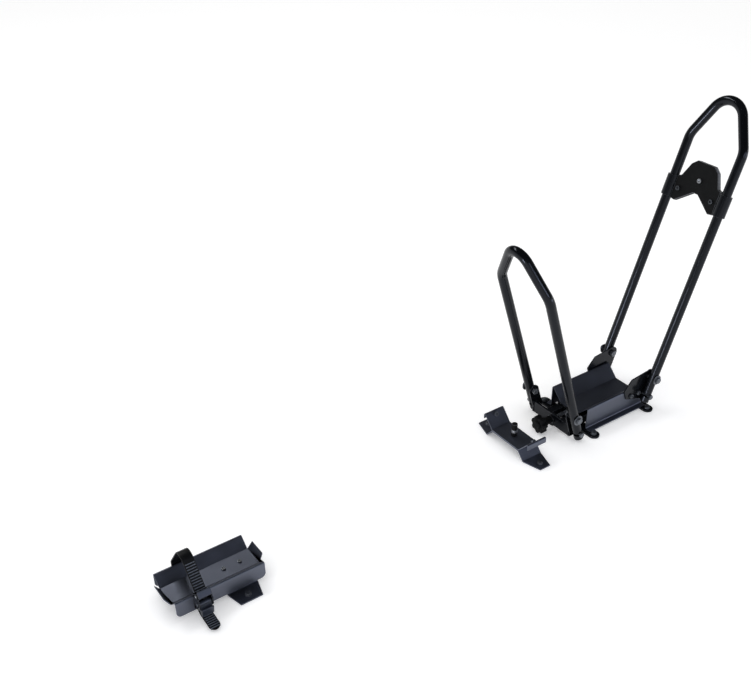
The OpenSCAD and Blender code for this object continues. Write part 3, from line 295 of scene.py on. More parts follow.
def rounded(points: Sequence[Flat], radii: Sequence[float], steps: int) -> list[Vector]:
    """Round the corners of an open flat line with arcs.

    Args:
        points: Sharp corners of the line.
        radii: Radius at each corner, 0 to keep it sharp.
        steps: Chords in each arc.

    Returns:
        Points of the rounded line.
    """
    line: list[Vector] = []
    for i, radius in enumerate(radii):
        here = Vector(points[i])
        if radius <= 0:
            line.append(here)
            continue
        a = (here - Vector(points[i - 1])).normalized()
        b = (Vector(points[i + 1]) - here).normalized()
        turn = a.angle(b)
        side = math.copysign(1.0, a.x * b.y - a.y * b.x)
        across = Vector((-a.y, a.x)) * side
        centre = here - a * radius * math.tan(turn / 2) + across * radius
        for k in range(steps + 1):
            q = turn * k / steps
            line.append(centre + radius * (math.sin(q) * a - math.cos(q) * across))
    return line


def new_object(name: str, mesh: bpy.types.Mesh) -> bpy.types.Object:
    """Put a mesh in the scene as an object at the origin.

    Args:
        name: Name of the object.
        mesh: Its mesh.

    Returns:
        The object.
    """
    made = bpy.data.objects.new(name, mesh)
    bpy.context.scene.collection.objects.link(made)
    return made


def from_bmesh(name: str, shape: bmesh.types.BMesh, finishes: Sequence[Finish],
               sharp_deg: float = SHARP_DEG) -> bpy.types.Object:
    """Turn a bmesh in metres into a smooth shaded object.

    Args:
        name: Name of the object.
        shape: Geometry, freed here.
        finishes: Finishes of its material slots.
        sharp_deg: Face angle above which an edge stays sharp.

    Returns:
        The object.
    """
    mesh = bpy.data.meshes.new(name)
    shape.to_mesh(mesh)
    shape.free()
    for finish in finishes:
        mesh.materials.append(finish.material())
    mesh.polygons.foreach_set("use_smooth", [True] * len(mesh.polygons))
    mesh.set_sharp_from_angle(angle=math.radians(sharp_deg))
    return new_object(name, mesh)


class Rule:
    """A Geometry Nodes tree with named inputs that runs once and leaves a plain mesh."""

    def __init__(self, name: str) -> None:
        """Start an empty tree.

        Args:
            name: Name of the tree.
        """
        self.tree = bpy.data.node_groups.new(name, "GeometryNodeTree")
        self.ids: dict[str, str] = {}
        self.tree.interface.new_socket("Geometry", in_out="OUTPUT", socket_type="NodeSocketGeometry")
        self.tree.interface.new_socket("Geometry", in_out="INPUT", socket_type="NodeSocketGeometry")
        self.inlet = self.tree.nodes.new("NodeGroupInput")
        self.outlet = self.tree.nodes.new("NodeGroupOutput")

    def add(self, kind: str, settings: dict[str, Any] | None = None,
            inputs: dict[str | int, Any] | None = None) -> bpy.types.Node:
        """Add a node to this tree."""
        return add_node(self.tree, kind, settings, inputs)

    def input(self, name: str, kind: str = "Float") -> Socket:
        """Add a named input.

        Args:
            name: Name of the input.
            kind: Socket kind, such as Float, Int, Bool, Object or Material.

        Returns:
            The socket that carries its value in the tree.
        """
        item = self.tree.interface.new_socket(name, in_out="INPUT", socket_type=f"NodeSocket{kind}")
        self.ids[name] = item.identifier
        return self.inlet.outputs[name]

    def math(self, operation: str, a: Any, b: Any = 0.0, c: Any = 0.0) -> Socket:
        """Give the result of one sum of up to three values."""
        return self.add("ShaderNodeMath", {"operation": operation}, {0: a, 1: b, 2: c}).outputs[0]

    def times(self, value: Any, factor: Any) -> Socket:
        """Give a value times a factor."""
        return self.math("MULTIPLY", value, factor)

    def either(self, kind: str, switch: Socket, no: Any, yes: Any) -> Socket:
        """Choose one of two values by a switch."""
        ways = {"Switch": switch, "False": no, "True": yes}
        return self.add("GeometryNodeSwitch", {"input_type": kind}, ways).outputs[0]

    def rod(self, sides: Any, radius: Any, depth: Any) -> Socket:
        """Add an upright cylinder about the origin."""
        sizes = {"Vertices": sides, "Radius": radius, "Depth": depth}
        return self.add("GeometryNodeMeshCylinder", None, sizes).outputs["Mesh"]

    def circle(self, count: int, radius: Any) -> Socket:
        """Add a circle of straight chords about the origin."""
        sizes = {"Resolution": count, "Radius": radius}
        return self.add("GeometryNodeCurvePrimitiveCircle", {"mode": "RADIUS"}, sizes).outputs[0]

    def swept(self, line: Socket, section: Socket, caps: bool) -> Socket:
        """Sweep a section along a line, with closed ends or without."""
        curves = {"Curve": line, "Profile Curve": section, "Fill Caps": caps}
        return self.add("GeometryNodeCurveToMesh", None, curves).outputs[0]

    def raised(self, shape: Socket, height: Any) -> Socket:
        """Move a shape up by a height."""
        up = self.add("ShaderNodeCombineXYZ", None, {"Z": height}).outputs[0]
        return self.add("GeometryNodeTransform", None, {"Geometry": shape, "Translation": up}).outputs[0]

    def flattened(self, shape: Socket, factor: Any) -> Socket:
        """Squeeze a shape along Z."""
        squeeze = self.add("ShaderNodeCombineXYZ", None, {"X": 1.0, "Y": 1.0, "Z": factor}).outputs[0]
        return self.add("GeometryNodeTransform", None, {"Geometry": shape, "Scale": squeeze}).outputs[0]

    def close(self, shape: Socket, smooth_deg: float = SHARP_DEG) -> None:
        """End the tree: realize instances, shade by angle and set the material.

        Args:
            shape: Socket of the finished geometry.
            smooth_deg: Face angle above which an edge stays sharp.
        """
        solid = self.add("GeometryNodeRealizeInstances", None, {"Geometry": shape}).outputs["Geometry"]
        faces = self.add("GeometryNodeSetShadeSmooth", {"domain": "FACE"},
                         {"Geometry": solid, "Shade Smooth": True})
        angle = self.add("GeometryNodeInputMeshEdgeAngle").outputs["Unsigned Angle"]
        soft = self.add("FunctionNodeCompare", {"data_type": "FLOAT", "operation": "LESS_THAN"},
                        {0: angle, 1: math.radians(smooth_deg)})
        edges = self.add("GeometryNodeSetShadeSmooth", {"domain": "EDGE"},
                         {"Geometry": faces.outputs[0], "Shade Smooth": soft.outputs["Result"]})
        dressed = self.add("GeometryNodeSetMaterial", None,
                           {"Geometry": edges.outputs[0], "Material": self.input("Finish", "Material")})
        self.tree.links.new(dressed.outputs[0], self.outlet.inputs[0])

    def run(self, made: bpy.types.Object, finish: Finish, sizes: dict[str, Any]) -> None:
        """Run the tree on an object and leave it the plain mesh.

        Args:
            made: Object whose mesh feeds the tree.
            finish: Finish of the result.
            sizes: Values of the named inputs, lengths in metres.
        """
        modifier = made.modifiers.new("rule", "NODES")
        modifier.node_group = self.tree
        modifier[self.ids["Finish"]] = finish.material()
        for name, value in sizes.items():
            modifier[self.ids[name]] = value
        bpy.context.view_layer.update()
        seen = made.evaluated_get(bpy.context.evaluated_depsgraph_get())
        mesh = bpy.data.meshes.new_from_object(seen)
        made.modifiers.remove(modifier)
        made.data = mesh


def bolt_rule() -> Rule:
    """Build the rule of a bolt: chamfered head, shank and thread on every point, along its aim.

    Returns:
        The rule, whose points carry the vectors aim and side.
    """
    rule = Rule("bolts_on_points")
    thread, grip = rule.input("Thread"), rule.input("Grip")
    radius, height = rule.input("Head Radius"), rule.input("Head Height")
    socket, is_socket = rule.input("Socket Radius"), rule.input("Socket Head", "Bool")
    cut_len, pitch = rule.input("Thread Length"), rule.input("Pitch")
    prism = rule.rod(rule.either("INT", is_socket, 6, 40), radius, height)
    top = rule.times(radius, rule.either("FLOAT", is_socket, *HEAD_FLAT))
    low = rule.math("MULTIPLY_ADD", height, rule.either("FLOAT", is_socket, *HEAD_SLOPE), top)
    cone = rule.add("GeometryNodeMeshCone", None,
                    {"Vertices": 48, "Radius Top": top, "Radius Bottom": low, "Depth": height})
    head = rule.add("GeometryNodeMeshBoolean", {"operation": "INTERSECT", "solver": "EXACT"})
    for part in (prism, rule.raised(cone.outputs["Mesh"], rule.times(height, -0.5))):
        rule.tree.links.new(part, head.inputs["Mesh 2"])
    key = rule.raised(rule.rod(6, socket, height), rule.times(height, 0.25))
    keyed = rule.add("GeometryNodeMeshBoolean", {"operation": "DIFFERENCE", "solver": "EXACT"}, {
        "Mesh 1": head.outputs["Mesh"], "Mesh 2": key})
    kind = rule.either("GEOMETRY", is_socket, head.outputs["Mesh"], keyed.outputs["Mesh"])
    outer = rule.times(thread, 0.5)
    core = rule.rod(32, rule.math("SUBTRACT", outer, rule.times(pitch, 0.45)), grip)
    plain_len = rule.math("SUBTRACT", grip, cut_len)
    plain = rule.rod(40, outer, plain_len)
    bolt = rule.add("GeometryNodeJoinGeometry")
    for part in (
        rule.raised(kind, rule.math("ADD", grip, rule.times(height, 0.5))),
        rule.raised(core, rule.times(grip, 0.5)),
        rule.raised(plain, rule.math("SUBTRACT", grip, rule.times(plain_len, 0.5))),
        thread_ridge(rule, thread, cut_len, pitch),
    ):
        rule.tree.links.new(part, bolt.inputs[0])
    rule.close(on_points(rule, bolt.outputs[0]))
    return rule


def ring_rule() -> Rule:
    """Build the rule of a washer: a ring with soft edges on every point.

    Returns:
        The rule, whose points carry the vectors aim and side.
    """
    rule = Rule("rings_on_points")
    outer, inner, height = rule.input("Outer Radius"), rule.input("Inner Radius"), rule.input("Height")
    middle = rule.times(rule.math("ADD", outer, inner), 0.5)
    upright = rule.add("GeometryNodeSetCurveNormal", {"mode": "Z_UP"}, {"Curve": rule.circle(56, middle)})
    section = rule.add("GeometryNodeCurvePrimitiveQuadrilateral", {"mode": "RECTANGLE"}, {
        "Width": rule.math("SUBTRACT", outer, inner), "Height": height})
    soft = rule.add("GeometryNodeFilletCurve", {"mode": "POLY"}, {
        "Curve": section.outputs[0], "Count": 3, "Radius": rule.times(height, 0.22)})
    ring = rule.swept(upright.outputs[0], soft.outputs[0], False)
    rule.close(on_points(rule, rule.raised(ring, rule.times(height, 0.5))))
    return rule


def dome_rule() -> Rule:
    """Build the rule of a rivet: a low dome on every point.

    Returns:
        The rule, whose points carry the vectors aim and side.
    """
    rule = Rule("domes_on_points")
    radius, height = rule.input("Radius"), rule.input("Height")
    ball = rule.add("GeometryNodeMeshUVSphere", None, {"Segments": 24, "Rings": 12, "Radius": radius})
    rule.close(on_points(rule, rule.flattened(ball.outputs["Mesh"], rule.math("DIVIDE", height, radius))))
    return rule


def bar_rule() -> Rule:
    """Build the rule of moulded ridges: a low half round bar along side on every point.

    Returns:
        The rule, whose points carry the vectors aim and side.
    """
    rule = Rule("bars_on_points")
    width, height, length = rule.input("Width"), rule.input("Height"), rule.input("Length")
    half = rule.times(width, 0.5)
    laid = rule.add("GeometryNodeTransform", None, {
        "Geometry": rule.rod(16, half, length), "Rotation": (0.0, math.pi / 2, 0.0)})
    rule.close(on_points(rule, rule.flattened(laid.outputs[0], rule.math("DIVIDE", height, half))))
    return rule


def weld_rule() -> Rule:
    """Build the rule of a weld: overlapping beads along every chain of edges.

    Returns:
        The rule.
    """
    rule = Rule("weld_beads_on_line")
    radius, step = rule.input("Bead Radius"), rule.input("Step")
    line = rule.add("GeometryNodeMeshToCurve", None, {"Mesh": rule.inlet.outputs["Geometry"]})
    even = rule.add("GeometryNodeResampleCurve", {"mode": "LENGTH"},
                    {"Curve": line.outputs[0], "Length": step})
    bead = rule.add("GeometryNodeMeshIcoSphere", None, {"Radius": radius, "Subdivisions": 2})
    size = rule.add("FunctionNodeRandomValue", {"data_type": "FLOAT"}, {
        2: BEAD_SIZES[0], 3: BEAD_SIZES[1], "Seed": BEAD_SEED})
    beads = rule.add("GeometryNodeInstanceOnPoints", None, {
        "Points": even.outputs[0], "Instance": bead.outputs["Mesh"], "Scale": size.outputs[1]})
    rule.close(beads.outputs[0], BEAD_SHARP_DEG)
    return rule


def tube_rule() -> Rule:
    """Build the rule of a tube swept along its line, with slots cut by another object.

    Returns:
        The rule.
    """
    rule = Rule("slotted_tube_on_line")
    radius, cutter = rule.input("Tube Radius"), rule.input("Cutter", "Object")
    line = rule.add("GeometryNodeMeshToCurve", None, {"Mesh": rule.inlet.outputs["Geometry"]})
    tube = rule.swept(line.outputs[0], rule.circle(48, radius), True)
    other = rule.add("GeometryNodeObjectInfo", None, {"Object": cutter})
    cut = rule.add("GeometryNodeMeshBoolean", {"operation": "DIFFERENCE", "solver": "EXACT"}, {
        "Mesh 1": tube, "Mesh 2": other.outputs["Geometry"]})
    rule.close(cut.outputs["Mesh"])
    return rule


def thread_ridge(rule: Rule, thread: Socket, length: Socket, pitch: Socket) -> Socket:
    """Add the spiral ridge of a screw thread from the origin up to a length.

    Args:
        rule: Rule that gets the nodes.
        thread: Outer diameter of the thread.
        length: Length of the thread.
        pitch: Rise of one turn.

    Returns:
        Socket of the ridge's mesh.
    """
    half = rule.times(pitch, 0.5)
    inner = rule.math("SUBTRACT", rule.times(thread, 0.5), half)
    turns = rule.math("SUBTRACT", rule.math("DIVIDE", length, pitch), 1.0)
    rise = rule.times(turns, pitch)
    spiral = rule.add("GeometryNodeCurveSpiral", None, {
        "Resolution": 20, "Rotations": turns, "Start Radius": inner, "End Radius": inner, "Height": rise})
    return rule.raised(rule.swept(spiral.outputs[0], rule.circle(4, half), True), half)


def on_points(rule: Rule, shape: Socket) -> Socket:
    """Add a copy of a shape on every point, turned so that its Z follows aim and its X follows side.

    Args:
        rule: Rule that gets the nodes.
        shape: Socket of the shape.

    Returns:
        Socket of the instances.
    """
    aim = rule.add("GeometryNodeInputNamedAttribute", {"data_type": "FLOAT_VECTOR"}, {"Name": "aim"})
    side = rule.add("GeometryNodeInputNamedAttribute", {"data_type": "FLOAT_VECTOR"}, {"Name": "side"})
    turn = rule.add("FunctionNodeAxesToRotation", {"primary_axis": "Z", "secondary_axis": "X"}, {
        0: aim.outputs["Attribute"], 1: side.outputs["Attribute"]})
    return rule.add("GeometryNodeInstanceOnPoints", None, {
        "Points": rule.inlet.outputs["Geometry"], "Instance": shape, "Rotation": turn.outputs[0]}).outputs[0]


@dataclass(frozen=True)
class Spot:
    """A place with two directions, for a copy of a repeated shape.

    Attributes:
        at: Place in mm.
        aim: Direction of the shape's Z.
        side: Direction of the shape's X.
    """

    at: Point
    aim: Point
    side: Point = (1.0, 0.0, 0.0)


def points_object(name: str, spots: Iterable[Spot]) -> bpy.types.Object:
    """Make an object of loose points that carry their directions.

    Args:
        name: Name of the object.
        spots: Places and directions.

    Returns:
        The object.
    """
    chosen = list(spots)
    mesh = bpy.data.meshes.new(name)
    mesh.from_pydata([tuple(Vector(s.at) * MM) for s in chosen], [], [])
    for key in ("aim", "side"):
        values = mesh.attributes.new(key, "FLOAT_VECTOR", "POINT")
        for i, spot in enumerate(chosen):
            values.data[i].vector = getattr(spot, key)
    return new_object(name, mesh)


def chains_object(name: str, chains: Sequence[Sequence[Point]]) -> bpy.types.Object:
    """Make an object of several chains of edges.

    Args:
        name: Name of the object.
        chains: Points of each chain in mm.

    Returns:
        The object.
    """
    points: list[Point] = []
    edges: list[tuple[int, int]] = []
    for chain in chains:
        first = len(points)
        points += [tuple(Vector(p) * MM) for p in chain]
        edges += [(first + i, first + i + 1) for i in range(len(chain) - 1)]
    mesh = bpy.data.meshes.new(name)
    mesh.from_pydata(points, edges, [])
    return new_object(name, mesh)


def leaning(pivot: Flat, lean: float) -> Matrix:
    """Give the matrix in mm from an upright hoop about its pivot to its place."""
    return Matrix.Translation((pivot[0], 0.0, pivot[1])) @ Matrix.Rotation(math.radians(lean), 4, "Y")


def skin(shape: bmesh.types.BMesh, rings: Sequence[Sequence[bmesh.types.BMVert]]) -> None:
    """Close a row of rings to a solid with a face at both ends.

    Args:
        shape: Mesh that holds the rings.
        rings: Rings of equally many points.
    """
    count = len(rings[0])
    for a, b in zip(rings, rings[1:]):
        for k in range(count):
            shape.faces.new((a[k], a[(k + 1) % count], b[(k + 1) % count], b[k]))
    shape.faces.new(rings[0][::-1])
    shape.faces.new(rings[-1])
    bmesh.ops.recalc_face_normals(shape, faces=shape.faces[:])


def both_sides(spots: Iterable[Spot]) -> list[Spot]:
    """Copy spots on the right side to the left side as well.

    Args:
        spots: Spots on the right side.

    Returns:
        The right spots, then the left ones.
    """
    right = list(spots)
    left = [Spot((s.at[0], -s.at[1], s.at[2]), (s.aim[0], -s.aim[1], s.aim[2]), s.side) for s in right]
    return right + left


class Bench:
    """Tools that the sub-assemblies share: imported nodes, node rules and the hand-over of each piece."""

    # Points nearer than the first are one, and slivers thinner than the second go, in mm.
    MERGE_MM, SLIVER_MM = 0.06, 0.01
    # Faces within the first angle are one, and edges above the second are eased, in degrees.
    FLAT_DEG, EASE_DEG = 0.8, 30.0
    # A face looks along Y above this share of its normal.
    SIDEWAYS = 0.6
    # Distance between weld beads over their radius.
    BEAD_STEP = 0.8

    def __init__(self, nodes: dict[str, bpy.types.Object]) -> None:
        """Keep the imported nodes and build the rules.

        Args:
            nodes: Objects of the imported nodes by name.
        """
        self.nodes = nodes
        self.bolts = bolt_rule()
        self.rings = ring_rule()
        self.domes = dome_rule()
        self.bars = bar_rule()
        self.welds = weld_rule()
        self.tube = tube_rule()

    def hand_over(self, piece: bpy.types.Object, body: Body, finish: Finish, *stands_for: str) -> None:
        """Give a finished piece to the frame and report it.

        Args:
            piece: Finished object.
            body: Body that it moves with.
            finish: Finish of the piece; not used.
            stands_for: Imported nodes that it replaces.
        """
        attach(piece, body.value)
        if stands_for:
            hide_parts(*stands_for)
        LOG.info("%s on %s: %d faces", piece.name, body.value, len(piece.data.polygons))

    def ease(self, node: str, body: Body, finish: Finish, edge: Finish, width: float,
             sides: Finish | None = None) -> None:
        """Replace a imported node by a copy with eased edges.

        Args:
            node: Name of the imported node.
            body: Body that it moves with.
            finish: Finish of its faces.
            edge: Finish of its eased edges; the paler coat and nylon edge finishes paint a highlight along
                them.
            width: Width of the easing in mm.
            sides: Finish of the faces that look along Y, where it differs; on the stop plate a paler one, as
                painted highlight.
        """
        shape = bmesh.new()
        shape.from_mesh(self.nodes[node].data)
        bmesh.ops.remove_doubles(shape, verts=shape.verts[:], dist=self.MERGE_MM * MM)
        bmesh.ops.dissolve_degenerate(shape, edges=shape.edges[:], dist=self.SLIVER_MM * MM)
        bmesh.ops.dissolve_limit(shape, angle_limit=math.radians(self.FLAT_DEG), verts=shape.verts[:],
                                 edges=shape.edges[:])
        # Faces that look along Y take the sides finish, a painted highlight on the stop plate.
        for face in shape.faces:
            face.material_index = 2 if sides and abs(face.normal.y) > self.SIDEWAYS else 0
        least = math.radians(self.EASE_DEG)
        sharp = [e for e in shape.edges if len(e.link_faces) == 2 and e.calc_face_angle(0.0) > least]
        bmesh.ops.bevel(shape, geom=sharp, offset=width * MM, offset_type="OFFSET", segments=2, profile=0.5,
                        affect="EDGES", clamp_overlap=False, material=1)
        piece = from_bmesh(f"{node}_eased", shape, (finish, edge, sides) if sides else (finish, edge))
        weigh = piece.modifiers.new("flat_faces_lead", "WEIGHTED_NORMAL")
        weigh.keep_sharp = True
        self.hand_over(piece, body, finish, node)

    def copies(self, name: str, body: Body, finish: Finish, rule: Rule, spots: Sequence[Spot],
               sizes: dict[str, float | bool], nodes: Sequence[str] = ()) -> None:
        """Make one piece of a shape's copies.

        Args:
            name: Name of the piece.
            body: Body that it moves with.
            finish: Finish of the copies.
            rule: Rule that makes the shape.
            spots: Place and directions of each copy.
            sizes: Lengths in mm and switches for the rule's named inputs.
            nodes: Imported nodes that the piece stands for.
        """
        piece = points_object(name, spots)
        rule.run(piece, finish, {key: v if isinstance(v, bool) else v * MM for key, v in sizes.items()})
        self.hand_over(piece, body, finish, *nodes)

    def foot_bolts(self, name: str, places: Sequence[Flat], foot_t: float, thread: float, reach: float,
                   washer_t: float, gap: float, washers: Sequence[str] = ()) -> None:
        """Bolt feet down, with a washer under each head.

        Args:
            name: Start of the pieces' names.
            places: X and Y of each bolt in mm.
            foot_t: Thickness of the foot in mm.
            thread: Thread diameter in mm.
            reach: Reach of the bolts below the feet in mm.
            washer_t: Thickness of a washer in mm.
            gap: Room between bolt and washer in mm.
            washers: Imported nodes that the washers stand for.
        """
        ends = [Spot((x, y, -reach), UP) for x, y in places]
        seats = [Spot((x, y, foot_t), UP) for x, y in places]
        self.bolt_set(f"{name}_screws", Body.BASE, DARK_PLATE, ends, thread, reach + foot_t + washer_t,
                      Head.HEXAGON, [f"{name}_bolts"], reach)
        self.copies(f"{name}_rings", Body.BASE, DARK_PLATE, self.rings, seats,
                    {"Outer Radius": thread, "Inner Radius": thread / 2 + gap, "Height": washer_t}, washers)

    def weld(self, name: str, body: Body, chains: Sequence[Sequence[Point]], radius: float) -> None:
        """Lay coated weld beads along lines.

        Args:
            name: Name of the piece.
            body: Body that they move with.
            chains: Lines in mm.
            radius: Radius of a bead in mm.
        """
        piece = chains_object(name, chains)
        self.welds.run(piece, GLOSS_COAT, {"Bead Radius": radius * MM, "Step": self.BEAD_STEP * radius * MM})
        self.hand_over(piece, body, GLOSS_COAT)

    def bolt_set(self, name: str, body: Body, finish: Finish, spots: Sequence[Spot], thread: float,
                 grip: float, head: Head, nodes: Sequence[str], cut: float = 0.0) -> None:
        """Replace packed bolts by bolts with chamfered heads and cut threads.

        Args:
            name: Name of the piece.
            body: Body that they move with.
            finish: Finish of the bolts.
            spots: Where each shank starts and which way its head lies.
            thread: Thread diameter in mm.
            grip: Length under the head in mm.
            head: Kind of head.
            nodes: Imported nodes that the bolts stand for.
            cut: Length of cut thread in mm, 0 for three turns.
        """
        pitch = PITCH * thread
        flats = FLATS[0] * thread + FLATS[1]
        self.copies(name, body, finish, self.bolts, spots, {
            "Thread": thread, "Grip": grip,
            "Head Radius": SOCKET_HEAD_R * thread if head is Head.SOCKET else flats / math.sqrt(3),
            "Head Height": HEAD_HEIGHT * thread, "Socket Radius": KEY_R * thread, "Socket Head": head.value,
            "Thread Length": cut or 3 * pitch, "Pitch": pitch}, nodes)


@dataclass(frozen=True)
class SoftBox:
    """A rectangular lamp that looks at the carrier.

    Attributes:
        name: Name of the lamp.
        at: Place in metres.
        size: Width and height in metres.
        power: Power in watts.
        colour: sRGB colour.
    """

    name: str
    at: Point
    size: Flat
    power: float
    colour: str

    def hang(self, target: Point) -> None:
        """Put the lamp in the scene.

        Args:
            target: Place that it looks at, in metres.
        """
        lamp = bpy.data.lights.new(self.name, "AREA")
        lamp.shape = "RECTANGLE"
        lamp.size, lamp.size_y = self.size
        lamp.energy = self.power
        lamp.color = linear(self.colour)[:3]
        holder = bpy.data.objects.new(self.name, lamp)
        aim = Vector(target) - Vector(self.at)
        holder.matrix_world = aim.to_track_quat("-Z", "Y").to_matrix().to_4x4()
        holder.matrix_world.translation = self.at
        bpy.context.scene.collection.objects.link(holder)


@dataclass
class Studio:
    """Floor, soft light and the camera at the photograph's angle.

    Attributes:
        azimuth: Turn of the view about Z in degrees.
        elevation: Height of the view in degrees.
        roll: Tilt of the picture in degrees.
        focal_px: Focal length in pixels of the picture.
        centre_px: Principal point in pixels.
        picture_px: Width and height of the picture.
        place: Place of the camera in metres.
        floor_lift: What the camera alone sees on top of the lit floor, so that the paper reads as white.
        room: Level of the room's light on matt surfaces.
        seen: Level of the background that the camera sees.
        walls: Level of the walls in mirror-like surfaces.
        ceiling: Level of the ceiling in them.
        cornice: Heights of the view's direction between which walls turn to ceiling.
        target: Place that the lamps look at, in metres.
        lamps: The soft boxes.
    """

    azimuth: float = -36.433
    elevation: float = 33.748
    roll: float = 0.256
    focal_px: float = 1017.156
    centre_px: Flat = (420.874, 376.694)
    picture_px: Flat = (751, 699)
    place: Point = (-1.7808, -1.5857, 1.6532)
    floor_lift: float = 0.2
    room: float = 0.78
    seen: float = 0.96
    walls: float = 0.95
    ceiling: float = 0.03
    cornice: Flat = (0.02, 0.3)
    target: Point = (-0.45, 0.0, 0.25)
    lamps: tuple[SoftBox, ...] = (
        SoftBox("top_soft_box", (-1.3, 2.7, 3.6), (2.8, 0.5), 36.0, "#ffffff"),
        SoftBox("near_soft_box", (-0.4, -3.6, 1.65), (2.0, 0.4), 14.0, "#e3eaff"),
        SoftBox("right_soft_box", (2.0, -2.9, 0.6), (2.6, 0.35), 14.0, "#dfe7ff"),
        SoftBox("rear_soft_box", (-4.4, -0.8, 0.45), (0.6, 1.0), 44.0, "#eef2ff"),
    )

    def set_camera(self) -> None:
        """Place the camera as it stood for the photograph."""
        turn, rise, roll = (math.radians(v) for v in (self.azimuth, self.elevation, self.roll))
        back = Vector((math.sin(turn) * math.cos(rise), -math.cos(turn) * math.cos(rise), math.sin(rise)))
        right = Vector((math.cos(turn), math.sin(turn), 0.0))
        up = back.cross(right)
        across = right * math.cos(roll) + up * math.sin(roll)
        upward = up * math.cos(roll) - right * math.sin(roll)
        lens = bpy.data.cameras.new("photo_camera")
        width, height = self.picture_px
        lens.sensor_width = 36.0
        lens.lens = self.focal_px * lens.sensor_width / width
        lens.shift_x = (width / 2 - self.centre_px[0]) / width
        lens.shift_y = (self.centre_px[1] - height / 2) / width
        lens.clip_start, lens.clip_end = 0.05, 60.0
        camera = bpy.data.objects.new("photo_camera", lens)
        camera.matrix_world = Matrix((across, upward, back)).transposed().to_4x4()
        camera.matrix_world.translation = self.place
        bpy.context.scene.collection.objects.link(camera)
        bpy.context.scene.camera = camera

    def lay_floor(self) -> None:
        """Lay a plain pale floor under the feet."""
        shape = bmesh.new()
        bmesh.ops.create_grid(shape, x_segments=1, y_segments=1, size=14.0)
        mesh = bpy.data.meshes.new("floor")
        shape.to_mesh(mesh)
        shape.free()
        paper = bpy.data.materials.new("matt_paper_floor")
        paper.use_nodes = True
        shader = paper.node_tree.nodes["Principled BSDF"]
        shader.inputs["Base Color"].default_value = linear("#fafafa")
        shader.inputs["Roughness"].default_value = 0.9
        shader.inputs["Specular IOR Level"].default_value = 0.1
        path = add_node(paper.node_tree, "ShaderNodeLightPath")
        glow = add_node(paper.node_tree, "ShaderNodeMath", {"operation": "MULTIPLY"}, {
            0: path.outputs["Is Camera Ray"], 1: self.floor_lift})
        shader.inputs["Emission Color"].default_value = linear("#ffffff")
        paper.node_tree.links.new(glow.outputs[0], shader.inputs["Emission Strength"])
        mesh.materials.append(paper)
        new_object("floor", mesh)

    def light(self) -> None:
        """Light the carrier from four soft boxes in a pale room with a dim ceiling."""
        scene = bpy.context.scene
        scene.view_settings.view_transform = "Standard"
        world = bpy.data.worlds.new("studio")
        world.use_nodes = True
        scene.world = world
        tree = world.node_tree
        back = tree.nodes["Background"]
        place = add_node(tree, "ShaderNodeTexCoord").outputs["Generated"]
        height = add_node(tree, "ShaderNodeSeparateXYZ", None, {"Vector": place})
        ceiling = add_node(tree, "ShaderNodeMapRange", {"interpolation_type": "SMOOTHSTEP"}, {
            "Value": height.outputs["Z"], "From Min": self.cornice[0], "From Max": self.cornice[1],
            "To Min": self.walls, "To Max": self.ceiling})
        path = add_node(tree, "ShaderNodeLightPath")
        mirrored = add_node(tree, "ShaderNodeMix", {"data_type": "FLOAT"}, {
            "Factor": path.outputs["Is Glossy Ray"], 2: self.room, 3: ceiling.outputs["Result"]})
        level = add_node(tree, "ShaderNodeMix", {"data_type": "FLOAT"}, {
            "Factor": path.outputs["Is Camera Ray"], 2: mirrored.outputs[0], 3: self.seen})
        tree.links.new(level.outputs[0], back.inputs["Strength"])
        back.inputs["Color"].default_value = (1.0, 1.0, 1.0, 1.0)
        for lamp in self.lamps:
            lamp.hang(self.target)


